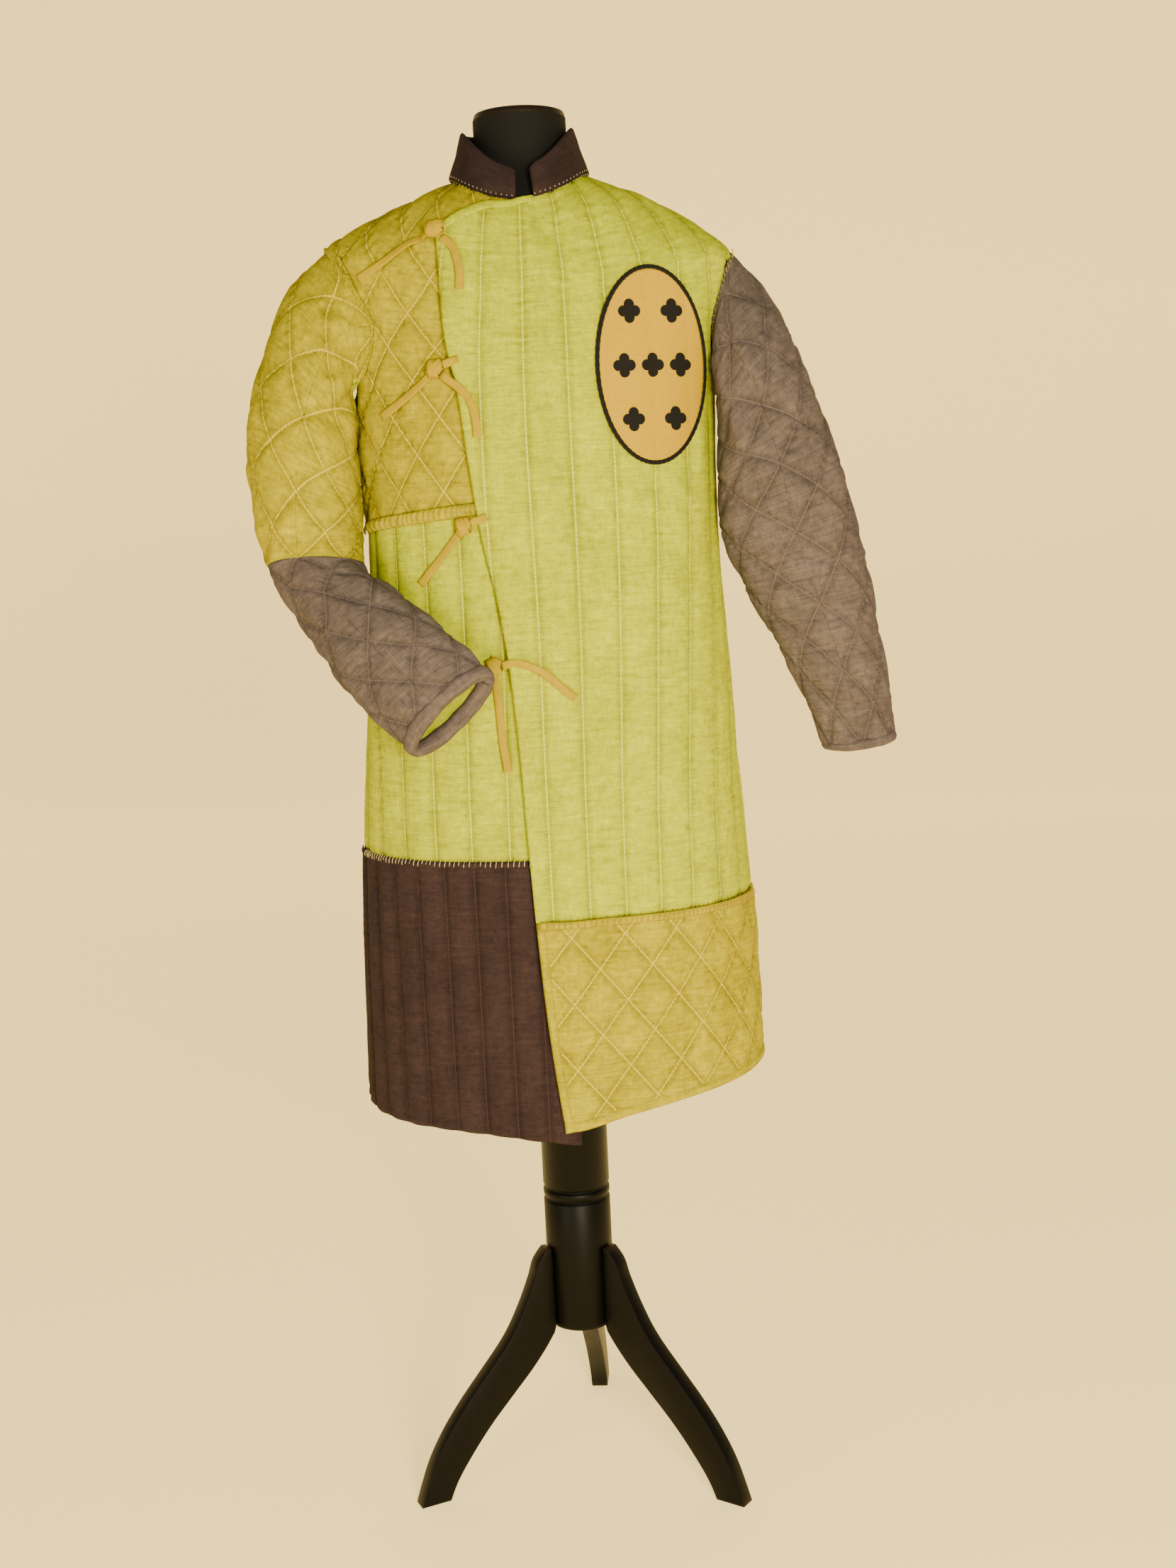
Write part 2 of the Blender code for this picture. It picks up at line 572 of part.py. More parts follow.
def armhole_loops(side):
    """Outer and inner edge points round an armhole, the sleeve's gap inside the body's edge."""
    swing = np.arange(ARM_STEPS) * 2.0 * math.pi / ARM_STEPS
    quarter = side * 0.5 * math.pi
    front = ARM_TURN["left_front" if side > 0 else "right_front"]
    short = np.where(np.cos(swing) > 0, front, ARM_TURN["back"]) * np.cos(swing)
    turns = quarter - side * short
    levels = 0.5 * (ARM_LOW + ARM_TOP) + 0.5 * (ARM_TOP - ARM_LOW) * np.sin(swing)
    normals = body_normal(turns, levels)
    outer = body(turns, levels) - normals * SEAM_DIP
    inner = body(turns, levels) - normals * CLOTH
    inward = unit(outer.mean(axis=0) - outer)
    step = inward * 2.0 * SEAM_GAP
    return outer + step, inner + step, swing, normals


def sleeve_rings(rows, along, swing, lean):
    """Ring points of a sleeve's form and their outward directions; the mouth leans by lean."""
    read = {name: smooth_column(rows, SLEEVE_COLUMNS, name, along) for name in SLEEVE_COLUMNS[1:]}
    outer = np.stack([read["outer_x"], read["outer_y"], read["outer_z"]], axis=-1)
    under = np.stack([read["inner_x"], read["inner_y"], read["inner_z"]], axis=-1)
    middle, across = 0.5 * (outer + under), 0.5 * (outer - under)
    path = unit(np.gradient(middle, axis=0))
    ahead = unit(np.cross(across, path))
    ahead = ahead * np.where(ahead[:, 1:2] > 0, -1.0, 1.0)
    cos, sin = np.cos(swing)[None, :, None], np.sin(swing)[None, :, None]
    half = np.linalg.norm(across, axis=1)[:, None, None]
    depth = np.where(cos > 0, read["ahead"][:, None, None], read["behind"][:, None, None])
    spread = across[:, None, :] * sin + ahead[:, None, :] * depth * cos
    spread = spread - path[:, None, :] * (lean * ease((along - 0.8) / 0.2))[:, None, None] * cos
    outward = unit(unit(across)[:, None, :] * sin / half + ahead[:, None, :] * cos / depth)
    return middle[:, None, :] + spread, outward


def sleeve_grids(rows, side, steps, around_diamonds):
    """Outer and inner grids of a whole sleeve from its armhole to its cuff."""
    loop_outer, loop_inner, swing, normals = armhole_loops(side)
    along = np.linspace(0, 1, steps + 1)
    rings, outward = sleeve_rings(rows, along, swing, MOUTH_LEAN[side])
    row_share = np.linspace(0, 1, steps + 1)[:, None]
    column_share = np.linspace(0, 1, ARM_STEPS + 1)[None, :-1]
    relief = diamond_relief(row_share, column_share, steps / 4, around_diamonds)
    relief[0] = relief[-1] = -SEAM_DIP
    outer = rings + outward * relief[..., None]
    inner = rings - outward * CLOTH
    hang = np.clip((-np.sin(swing) - 0.35) / 0.65, 0, 1)[:, None]
    drop = hang * np.array([side * ARMPIT_DROP, 0.0, -0.004])
    for k in range(3):
        keep = (1.0 - ease(k / 3.0))
        outer[k] = outer[k] * (1 - keep) + (loop_outer + drop) * keep
        inner[k] = inner[k] * (1 - keep) + (loop_inner + drop) * keep
    return along, outer, inner


def left_sleeve(coat):
    _, outer, inner = sleeve_grids(LEFT_SLEEVE, 1, 28, 6)
    return wall("left_sleeve", outer, inner[::2, ::2], coat, closed=True)


def right_sleeve(upper_coat, lower_coat):
    """Yellow upper sleeve and taupe lower one, parted at the elbow seam."""
    along, outer, inner = sleeve_grids(RIGHT_SLEEVE, -1, 30, 6)
    cut = 2 * int(round(SLEEVE_SPLIT * 15))
    for name, rows, coat in (("right_sleeve_upper", slice(0, cut + 1), upper_coat),
                             ("right_sleeve_lower", slice(cut, None), lower_coat)):
        piece_outer, piece_inner = outer[rows].copy(), inner[rows].copy()
        if rows.start:
            shift = unit(piece_outer[1].mean(axis=0) - piece_outer[0].mean(axis=0)) * SEAM_GAP
            piece_outer[0] += shift
            piece_inner[0] += shift
        wall(name, piece_outer, piece_inner[::2, ::2], coat, closed=True)


def collar(coat):
    """Felted band, open at the front, its lower edge laid over the neckline."""
    columns, rows = 48, 4
    start, end = COLLAR_OPENS_LEFT, 2.0 * math.pi + COLLAR_OPENS_RIGHT
    laid = np.full(columns + 1, COLLAR_LAID_LEVEL)
    turns = np.linspace(start, end, columns + 1)[None, :]
    up = np.linspace(0, 1, rows + 1)[:, None]
    read = {name: smooth_column(COLLAR_RINGS, COLLAR_COLUMNS, name, up) for name in COLLAR_COLUMNS[1:]}
    ahead, aside = np.cos(turns), np.sin(turns)

    def ring(out):
        depth = np.where(ahead > 0, read["front"], read["back"]) + out
        end_z = np.where(ahead > 0, read["front_z"], read["back_z"])
        x = COLLAR_SHIFT + (read["half"] + out) * aside
        z = read["side_z"] + (end_z - read["side_z"]) * ahead**2
        rings = np.stack([x, -depth * ahead, z], axis=-1)
        lift = COLLAR_LIFT + FELT + out
        rings[0] = body(turns[0], laid) + body_normal(turns[0], laid) * lift
        return rings

    return wall("collar", ring(0.0), ring(-FELT)[::2, ::2], coat)


def laid_on_front(x, z, lift, over):
    """Points that lie on the fronts at x, z, lifted off the cloth by a distance."""
    turn, level = at_front(x, z)
    rise = overlap_rise(turn, level) if over else 0.0 * turn
    normal = body_normal(turn, level)
    return body(turn, level) + normal * (rise + lift)[..., None], normal


def patch(coat, border_coat):
    """Upright oval sewn on the left chest, with a cord-like border round it."""
    rows, columns = 12, 12
    v = np.linspace(-1, 1, rows + 1)[:, None]
    u = np.linspace(-1, 1, columns + 1)[None, :]
    x = PATCH_X + PATCH_HALF_WIDTH * u * np.sqrt(1 - 0.5 * v**2)
    z = PATCH_Z + PATCH_HALF_HEIGHT * v * np.sqrt(1 - 0.5 * u**2)
    low, _ = laid_on_front(x, z, np.full_like(x, PATCH_LIFT), True)
    high, _ = laid_on_front(x, z, np.full_like(x, PATCH_LIFT + PATCH_CLOTH), True)
    wall("patch", high, low[::2, ::2], coat)
    rim = np.concatenate([np.stack([x[0, :-1], z[0, :-1]], 1), np.stack([x[:-1, -1], z[:-1, -1]], 1),
                          np.stack([x[-1, :0:-1], z[-1, :0:-1]], 1), np.stack([x[:0:-1, 0], z[:0:-1, 0]], 1)])
    middle = np.array([PATCH_X, PATCH_Z])
    away = unit((rim - middle) / np.array([PATCH_HALF_WIDTH, PATCH_HALF_HEIGHT]) ** 2)
    out = np.array([2.0 * SEAM_GAP, 0.5 * BORDER_WIDTH, BORDER_WIDTH])[:, None]
    ring_x = rim[None, :, 0] + away[None, :, 0] * out
    ring_z = rim[None, :, 1] + away[None, :, 1] * out
    crown = np.array([0.7, 1.0, 0.7])[:, None] * BORDER_CLOTH + 0 * ring_x
    high, _ = laid_on_front(ring_x, ring_z, PATCH_LIFT + crown, True)
    low, _ = laid_on_front(ring_x, ring_z, PATCH_LIFT + 0 * crown, True)
    wall("patch_border", high, low[::2, ::2], border_coat, closed=True)


def ribbon(name, middle, normals, coat):
    """A flat ribbon along points, square to the cloth that it lies on."""
    along = unit(np.gradient(middle, axis=0))
    across = unit(np.cross(normals, along)) * (0.5 * RIBBON_WIDTH)
    sides = np.array([-1.0, 0.0, 1.0])[None, :, None]
    spread = middle[:, None, :] + across[:, None, :] * sides
    thick = normals[:, None, :] * (0.5 * RIBBON_THICK)
    return wall(name, spread + thick, (spread - thick)[::2, ::2], coat)


def smooth_route(points, steps):
    """A smooth curve through a short list of places, read at even steps."""
    points = np.array(points, float)
    table = np.concatenate([np.linspace(0, 1, len(points))[:, None], points], axis=1)
    at = np.linspace(0, 1, steps + 1)
    return np.stack([smooth_column(table, ("t", "x", "z"), name, at) for name in ("x", "z")], axis=-1)


def lift_over_front(x, z, lift):
    """Points over whichever front is on top, climbing the overlap's edge in a soft step."""
    turn, level = at_front(x, z)
    edge = smooth_column(EDGE_ROWS, EDGE_COLUMNS, "x", level)
    onto = ease((x - edge + CLIMB_START) / CLIMB_LENGTH)
    normal = body_normal(turn, level)
    return body(turn, level) + normal * (overlap_rise(turn, level) * onto + lift)[..., None], normal


def tie(row, coat):
    """One pair of ribbons: its knot, the sewn stub on the overlap and its hanging tails."""
    knot_x, knot_z = row["knot"]
    rise = SEAM_GAP + 0.5 * RIBBON_THICK
    lift = np.array([KNOT_HALF[1] + SEAM_GAP])
    centre, normal = laid_on_front(np.array([knot_x]), np.array([knot_z]), lift, row["on_overlap"])
    bm = bmesh.new()
    bmesh.ops.create_uvsphere(bm, u_segments=12, v_segments=6, radius=1.0)
    upright = np.array([0.0, 0.0, 1.0])
    aside = unit(np.cross(normal[0], upright))
    over = np.cross(normal[0], aside)
    for vert in bm.verts:
        a, b, c = vert.co
        vert.co = (centre[0] + aside * a * KNOT_HALF[0] + normal[0] * c * KNOT_HALF[1]
                   + over * b * KNOT_HALF[2])
    mesh = bpy.data.meshes.new(row["name"] + "_knot")
    bm.to_mesh(mesh)
    bm.free()
    mesh.shade_smooth()
    place(row["name"] + "_knot", mesh, coat)
    start = np.array(row["knot"])
    routes = [("stub", (row["stub"],), 4)] if row["stub"] else []
    routes += [("tail_" + "ab"[k], tail, 10) for k, tail in enumerate(row["tails"])]
    for part, points, steps in routes:
        toward = np.array(points[0]) - start
        reach = 1.0 / np.linalg.norm(toward / np.array([KNOT_HALF[0], KNOT_HALF[2]]))
        crosses = points[-1][0] > smooth_column(EDGE_ROWS, EDGE_COLUMNS, "x", points[-1][1])
        first = start + toward * reach * (TAIL_OVER if crosses else TAIL_UNDER)
        route = smooth_route([first, *points], steps)
        lift = rise if part == "stub" else rise + TAIL_LIFT
        middle, normals = lift_over_front(route[:, 0], route[:, 1], np.full(len(route), lift))
        ribbon(row["name"] + "_" + part, middle, normals, coat)


def lofted(name, rings, coat):
    """A closed solid through rings of points, with flat ends."""
    count, around = rings.shape[:2]
    faces = []
    for i in range(count - 1):
        for j in range(around):
            a, b = i * around + j, i * around + (j + 1) % around
            faces.append((a, b, b + around, a + around))
    faces.append(tuple(range(around))[::-1])
    faces.append(tuple(range((count - 1) * around, count * around)))
    return solid(name, rings.reshape(-1, 3), faces, coat)


def dress_form(coat):
    """Torso without limbs, a little inside the coat's form, rising to a straight neck."""
    around = 32
    turns = np.arange(around) * 2.0 * math.pi / around
    levels = np.array([row[0] for row in FORM_RINGS])[:, None] + 0 * turns[None, :]
    inset = smooth_column(FORM_RINGS, FORM_COLUMNS, "inset", levels)
    trunk = body(turns[None, :], levels) - body_normal(turns[None, :] + 0 * levels, levels) * inset[..., None]
    trunk[0, :, 2] = FORM_RINGS[0][0]
    neck = []
    for height in NECK_RINGS:
        neck.append(np.stack([NECK_SHIFT + NECK_RADIUS * np.sin(turns), -NECK_RADIUS * np.cos(turns),
                              np.full(around, height)], axis=-1))
    return lofted("form_torso", np.concatenate([trunk, np.array(neck)]), coat)


def turned_piece(name, profile, x, coat, steps=32):
    """A turned solid from radius and height pairs, top to bottom."""
    mesh = bpy.data.meshes.new(name)
    points = [(radius, 0.0, height) for radius, height in profile]
    mesh.from_pydata(points, [(k, k + 1) for k in range(len(points) - 1)], [])
    made = place(name, mesh, coat)
    made.location.x += x
    screw = made.modifiers.new("turn", "SCREW")
    screw.angle = 2.0 * math.pi
    screw.steps = screw.render_steps = steps
    screw.axis = "Z"
    screw.use_merge_vertices = True
    screw.merge_threshold = 0.00005
    return made


def neck_cap(coat):
    low, top, radius = NECK_RINGS[-1] + SEAM_GAP, CAP_TOP, NECK_RADIUS - 0.001
    profile = [(0.0, top), (radius - 0.004, top), (radius, top - 0.003), (radius, low), (0.0, low)]
    return turned_piece("form_neck_cap", profile, NECK_SHIFT, coat)


def column(coat):
    """Turned pole with two cut rings near its foot."""
    radius, top = COLUMN_RADIUS, COLUMN_TOP - SEAM_GAP
    profile = [(0.0, top), (radius, top)]
    for height in reversed(GROOVES):
        profile += [(radius, height + 0.0035), (radius - 0.0025, height), (radius, height - 0.0035)]
    profile += [(radius, COLUMN_BOTTOM + 0.006), (radius - 0.006, COLUMN_BOTTOM), (0.0, COLUMN_BOTTOM)]
    return turned_piece("stand_column", profile, 0.0, coat)


def leg(name, turn, coat):
    """Sawn board of an S-curved outline, upright against the column."""
    heights = np.array([row[0] for row in LEG_ROWS])
    fine = np.concatenate([np.linspace(heights[0], heights[-3], 12), heights[-2:]])
    outer = [(float(smooth_column(LEG_ROWS, LEG_COLUMNS, "outer", h)), h) for h in fine]
    inner = [(float(smooth_column(LEG_ROWS, LEG_COLUMNS, "inner", h)), h) for h in fine[::-1]]
    inner = [(max(r, COLUMN_RADIUS + SEAM_GAP), h) for r, h in inner]
    curve = bpy.data.curves.new(name, "CURVE")
    curve.dimensions = "2D"
    curve.fill_mode = "BOTH"
    curve.extrude = 0.5 * LEG_THICK
    line = curve.splines.new("POLY")
    line.points.add(len(outer) + len(inner) - 1)
    for point, (r, h) in zip(line.points, outer + inner):
        point.co = (r, h, 0.0, 1.0)
    line.use_cyclic_u = True
    made = place(name, curve, coat)
    made.rotation_euler = (0.5 * math.pi, 0.0, math.radians(turn))
    weld = made.modifiers.new("weld", "WELD")
    weld.merge_threshold = 0.00005
    return made


def build():
    lime = material("lime_wool", LIME, 0.9)
    gold = material("gold_wool", GOLD, 0.9)
    taupe = material("taupe_linen", TAUPE, 0.92)
    brown = material("brown_felt", BROWN, 0.95)
    marigold = material("marigold_linen", MARIGOLD, 0.85)
    black_cord = material("black_cord", BLACK_CLOTH, 0.8)
    black_cloth = material("black_jersey", BLACK_CLOTH, 0.85)
    black_paint = material("black_paint", BLACK_PAINT, 0.35)
    beech = material("beech_rim", BEECH, 0.5)
    left_front(lime)
    left_front_hem(gold)
    right_front_chest(gold)
    right_front_middle(lime)
    right_front_hem(brown)
    back(lime)
    left_sleeve(taupe)
    right_sleeve(gold, taupe)
    collar(brown)
    patch(marigold, black_cord)
    for row in TIES:
        tie(row, marigold)
    dress_form(black_cloth)
    neck_cap(beech)
    column(black_paint)
    for k, name in enumerate(("leg_rear", "leg_left", "leg_right")):
        leg(name, REAR_LEG_TURN - 120.0 * k, black_paint)


clear_scene()
GARMENT = collection("gambeson_on_dress_form")
build()
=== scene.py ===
"""Quilted gambeson worn by a limbless dress form: cloth, quilting, ties, stand, stage and camera.

Form functions work in metres about the stand's axis, with the wearer's left at +X and the
viewer's side at -Y. AXIS takes their points to the row frame.
"""
import math

import bmesh
import bpy
import numpy as np
from bpy.props import FloatProperty, FloatVectorProperty, IntProperty, PointerProperty
from mathutils import Matrix, Vector


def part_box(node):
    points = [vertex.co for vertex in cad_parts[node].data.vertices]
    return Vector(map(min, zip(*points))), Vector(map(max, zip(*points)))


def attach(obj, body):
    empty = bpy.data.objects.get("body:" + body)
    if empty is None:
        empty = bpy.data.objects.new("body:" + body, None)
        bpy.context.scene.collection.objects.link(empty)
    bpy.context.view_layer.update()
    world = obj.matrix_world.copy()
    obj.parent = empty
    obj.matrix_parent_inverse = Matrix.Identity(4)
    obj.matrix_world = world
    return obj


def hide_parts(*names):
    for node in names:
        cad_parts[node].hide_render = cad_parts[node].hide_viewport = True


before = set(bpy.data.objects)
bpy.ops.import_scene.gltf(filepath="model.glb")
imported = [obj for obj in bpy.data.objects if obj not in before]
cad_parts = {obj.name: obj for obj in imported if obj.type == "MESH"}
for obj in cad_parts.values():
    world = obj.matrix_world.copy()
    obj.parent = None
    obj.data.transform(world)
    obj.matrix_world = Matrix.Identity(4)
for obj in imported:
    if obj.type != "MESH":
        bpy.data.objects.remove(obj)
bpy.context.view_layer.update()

bl_info = {
    "name": "Quilted gambeson on a dress form",
    "version": (1, 0, 0),
    "blender": (4, 5, 0),
    "location": "3D View > Sidebar > Gambeson",
    "description": "Builds a quilted arming coat, its ties and its stand around a packed model",
    "category": "Add Mesh",
}

POLE_LOW, POLE_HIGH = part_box("stand_column")
AXIS = np.array([0.5 * (POLE_LOW.x + POLE_HIGH.x), 0.5 * (POLE_LOW.y + POLE_HIGH.y), 0.0])

# Photograph: frame in pixels, focal length in pixels, camera place about the stand's axis
PHOTO_SIZE = (1659, 2212)
PHOTO_FOCAL = 2664.7
CAMERA_AT = np.array([0.0385, -2.3, 1.2330])
CAMERA_PITCH = math.radians(8.615)
CAMERA_ROLL = math.radians(2.6716)

# Sizes shared with the solids
CLOTH = 0.007
SEAM_DIP = 0.0022
FELT = 0.004
FULLNESS = 0.14
FORM_BOTTOM = 0.470
HEM_LEVEL = 0.500
NECK_LEVEL = 1.606
UNDERLAP_X = 0.012
FIRST_CHANNEL_X = -0.011
OVERLAP_RISE = CLOTH + 0.0018
OVERLAP_FADE = 0.050

BODY_COLUMNS = ("level", "front_z", "back_z", "half", "front", "back", "shift", "left_rise", "right_rise")
BODY_RINGS = (
    (0.470, 0.470, 0.470, 0.2492, 0.1818, 0.150, -0.0045, 0.000, 0.000),
    (0.620, 0.620, 0.620, 0.2455, 0.1780, 0.150, -0.0045, 0.000, 0.000),
    (0.750, 0.750, 0.750, 0.2410, 0.1730, 0.148, -0.0045, 0.000, 0.000),
    (0.850, 0.850, 0.850, 0.2345, 0.1670, 0.144, -0.0045, 0.000, 0.000),
    (0.950, 0.950, 0.950, 0.2265, 0.1600, 0.138, -0.0035, 0.000, 0.000),
    (1.090, 1.090, 1.090, 0.2165, 0.1500, 0.128, -0.0010, 0.000, 0.000),
    (1.200, 1.200, 1.200, 0.2118, 0.1440, 0.124, -0.0010, 0.000, 0.000),
    (1.300, 1.300, 1.300, 0.2125, 0.1410, 0.128, -0.0020, 0.000, 0.000),
    (1.365, 1.362, 1.368, 0.2155, 0.1380, 0.130, -0.0020, 0.000, 0.002),
    (1.430, 1.412, 1.440, 0.2245, 0.1330, 0.130, -0.0020, 0.000, 0.007),
    (1.485, 1.457, 1.500, 0.2360, 0.1260, 0.122, -0.0025, 0.000, 0.016),
    (1.513, 1.486, 1.538, 0.2390, 0.1200, 0.111, -0.0030, 0.001, 0.021),
    (1.545, 1.514, 1.568, 0.1950, 0.1130, 0.099, -0.0050, 0.004, 0.015),
    (1.575, 1.544, 1.596, 0.1380, 0.1040, 0.087, -0.0070, 0.007, 0.009),
    (1.606, 1.573, 1.620, 0.0745, 0.0880, 0.072, -0.0095, 0.001, 0.001),
)

# Levels of the hem by turn in degrees, from the front's middle towards the wearer's left
HEM_COLUMNS = ("turn", "level")
LEFT_HEM = (
    (-12.0, 0.503), (2.0, 0.504), (11.0, 0.511), (19.0, 0.518), (31.0, 0.526), (51.0, 0.534), (90.0, 0.540),
)
RIGHT_HEM = (
    (-90.0, 0.506), (-51.0, 0.504), (-35.0, 0.503), (-18.0, 0.498), (-10.0, 0.493), (5.0, 0.484),
)
BACK_HEM = ((90.0, 0.540), (135.0, 0.524), (180.0, 0.515), (225.0, 0.510), (270.0, 0.506))

EDGE_COLUMNS = ("level", "x")
EDGE_ROWS = (
    (0.500, -0.006), (0.620, -0.019), (0.750, -0.028), (0.850, -0.033), (0.960, -0.038),
    (1.090, -0.050), (1.200, -0.069), (1.290, -0.080), (1.366, -0.088), (1.420, -0.097),
    (1.500, -0.102), (1.606, -0.106),
)
DROP_COLUMNS = ("x", "drop")
DROP_ROWS = (
    (-0.110, 0.056), (-0.094, 0.044), (-0.067, 0.027), (-0.043, 0.016), (-0.016, 0.0115),
    (-0.008, 0.0085), (0.002, 0.003), (0.008, 0.000), (0.030, 0.000),
)
ARM_LOW = 1.365
ARM_TOP = 1.513
ARM_TURN = {"left_front": math.radians(20.0), "right_front": math.radians(36.0), "back": math.radians(24.0)}
CHEST_SEAM_SIDE = 1.205
CHEST_SEAM_RISE = 0.026
BROWN_SEAM = 0.822
YELLOW_SEAM = 0.752

SLEEVE_COLUMNS = ("along", "outer_x", "outer_y", "outer_z", "inner_x", "inner_y", "inner_z",
                  "ahead", "behind")
LEFT_SLEEVE = (
    (0.00, 0.241, 0.000, 1.513, 0.226, 0.000, 1.362, 0.062, 0.062),
    (0.06, 0.263, -0.004, 1.488, 0.2210, -0.006, 1.345, 0.067, 0.067),
    (0.13, 0.284, -0.014, 1.453, 0.2150, -0.018, 1.325, 0.071, 0.070),
    (0.21, 0.304, -0.025, 1.413, 0.2090, -0.031, 1.298, 0.072, 0.070),
    (0.30, 0.323, -0.034, 1.360, 0.2062, -0.039, 1.265, 0.070, 0.068),
    (0.42, 0.345, -0.040, 1.296, 0.2060, -0.043, 1.228, 0.066, 0.064),
    (0.52, 0.361, -0.042, 1.236, 0.2075, -0.045, 1.185, 0.061, 0.060),
    (0.62, 0.377, -0.044, 1.172, 0.2240, -0.045, 1.138, 0.056, 0.056),
    (0.72, 0.390, -0.044, 1.108, 0.2495, -0.045, 1.086, 0.050, 0.050),
    (0.82, 0.4000, -0.042, 1.050, 0.2755, -0.043, 1.037, 0.044, 0.044),
    (0.91, 0.4090, -0.038, 0.992, 0.3005, -0.038, 0.985, 0.038, 0.038),
    (1.00, 0.4140, -0.034, 0.932, 0.3235, -0.034, 0.922, 0.034, 0.034),
)
RIGHT_SLEEVE = (
    (0.00, -0.241, 0.000, 1.534, -0.226, 0.000, 1.364, 0.062, 0.062),
    (0.06, -0.268, -0.004, 1.516, -0.2220, -0.006, 1.347, 0.069, 0.067),
    (0.13, -0.297, -0.012, 1.477, -0.2180, -0.017, 1.325, 0.073, 0.070),
    (0.21, -0.3205, -0.022, 1.421, -0.2140, -0.030, 1.298, 0.072, 0.069),
    (0.29, -0.3375, -0.030, 1.365, -0.2115, -0.038, 1.268, 0.069, 0.066),
    (0.38, -0.3465, -0.034, 1.297, -0.2110, -0.042, 1.234, 0.067, 0.064),
    (0.46, -0.3435, -0.034, 1.225, -0.2115, -0.048, 1.200, 0.066, 0.060),
    (0.54, -0.3280, -0.034, 1.160, -0.2110, -0.062, 1.168, 0.062, 0.048),
    (0.61, -0.3030, -0.052, 1.115, -0.1970, -0.084, 1.153, 0.057, 0.033),
    (0.69, -0.2790, -0.080, 1.082, -0.1700, -0.112, 1.139, 0.050, 0.027),
    (0.77, -0.2550, -0.109, 1.050, -0.1410, -0.140, 1.117, 0.043, 0.025),
    (0.85, -0.228, -0.136, 1.017, -0.1130, -0.162, 1.094, 0.037, 0.025),
    (0.93, -0.196, -0.162, 0.986, -0.0870, -0.178, 1.072, 0.032, 0.025),
    (1.00, -0.162, -0.180, 0.955, -0.0650, -0.186, 1.046, 0.029, 0.025),
)
MOUTH_LEAN = {1: 0.0, -1: 0.010}
SLEEVE_STEPS = {"left": 28, "right": 30}
ELBOW_SEAM = 16 / 30
ARMPIT_DROP = 0.013

COLLAR_LAID_LEVEL = 1.602
COLLAR_LIFT = -0.0006
COLLAR_COLUMNS = ("up", "side_z", "front_z", "back_z", "half", "front", "back")
COLLAR_RINGS = (
    (0.20, 1.618, 1.581, 1.631, 0.0800, 0.0955, 0.0790),
    (0.50, 1.634, 1.591, 1.646, 0.0745, 0.0905, 0.0740),
    (1.00, 1.661, 1.608, 1.668, 0.0660, 0.0820, 0.0665),
)
COLLAR_SHIFT = -0.009
COLLAR_OPENS_LEFT = math.radians(12.0)
COLLAR_OPENS_RIGHT = math.radians(-2.0)

PATCH_X = 0.133
PATCH_Z = 1.378
PATCH_HALF_WIDTH = 0.060
PATCH_HALF_HEIGHT = 0.107
PATCH_LIFT = 0.0011

RIBBON_WIDTH = 0.0095
RIBBON_THICK = 0.0018
TAIL_UNDER = 0.86
TAIL_OVER = 0.97
KNOT_HALF = (0.0110, 0.0058, 0.0095)
CLIMB_START = 0.019
CLIMB_LENGTH = 0.010
SEAM_GAP = 0.0003
TIES = (
    {"name": "tie_1", "on_overlap": True, "knot": (-0.102, 1.533), "stub": None,
     "tails": (((-0.136, 1.526), (-0.167, 1.506), (-0.196, 1.491)),
               ((-0.084, 1.514), (-0.078, 1.492), (-0.078, 1.468)))},
    {"name": "tie_2", "on_overlap": False, "knot": (-0.110, 1.384), "stub": (-0.083, 1.392),
     "tails": (((-0.132, 1.366), (-0.154, 1.350), (-0.178, 1.335)),
               ((-0.076, 1.352), (-0.067, 1.326), (-0.066, 1.305)))},
    {"name": "tie_3", "on_overlap": False, "knot": (-0.088, 1.207), "stub": (-0.060, 1.216),
     "tails": (((-0.104, 1.188), (-0.125, 1.163), (-0.142, 1.143)),)},
    {"name": "tie_4", "on_overlap": False, "knot": (-0.062, 1.047), "stub": None,
     "tails": (((-0.033, 1.050), (-0.007, 1.039), (0.012, 1.022), (0.029, 1.007)),
               ((-0.060, 1.018), (-0.058, 0.988), (-0.056, 0.960), (-0.051, 0.927)))},
)

FORM_COLUMNS = ("level", "inset")
FORM_RINGS = (
    (0.800, 0.060), (0.850, 0.046), (0.930, 0.040), (1.050, 0.042), (1.200, 0.032), (1.320, 0.026),
    (1.420, 0.024), (1.480, 0.022), (1.513, 0.018), (1.536, 0.0130), (1.5595, 0.0105), (1.583, 0.0105),
    (1.606, 0.0115),
)
NECK_RADIUS = 0.0545
NECK_SHIFT = -0.006
NECK_RINGS = (1.636, 1.655, 1.672)
CAP_TOP = 1.680
COLUMN_RADIUS = 0.042
COLUMN_BOTTOM = 0.190
COLUMN_TOP = 0.800
GROOVES = (0.3600, 0.3735)
LEG_THICK = 0.022
REAR_LEG_TURN = 90.0 - 4.6
LEG_COLUMNS = ("height", "outer", "inner")
LEG_ROWS = (
    (0.000, 0.2360, 0.1975), (0.020, 0.2290, 0.1880), (0.054, 0.2150, 0.1640), (0.087, 0.1950, 0.1360),
    (0.118, 0.1710, 0.1050), (0.149, 0.1430, 0.0740), (0.180, 0.1150, 0.0490), (0.190, 0.1070, 0.0425),
    (0.225, 0.0860, 0.0425), (0.262, 0.0690, 0.0425), (0.285, 0.0600, 0.0425), (0.297, 0.0490, 0.0435),
)

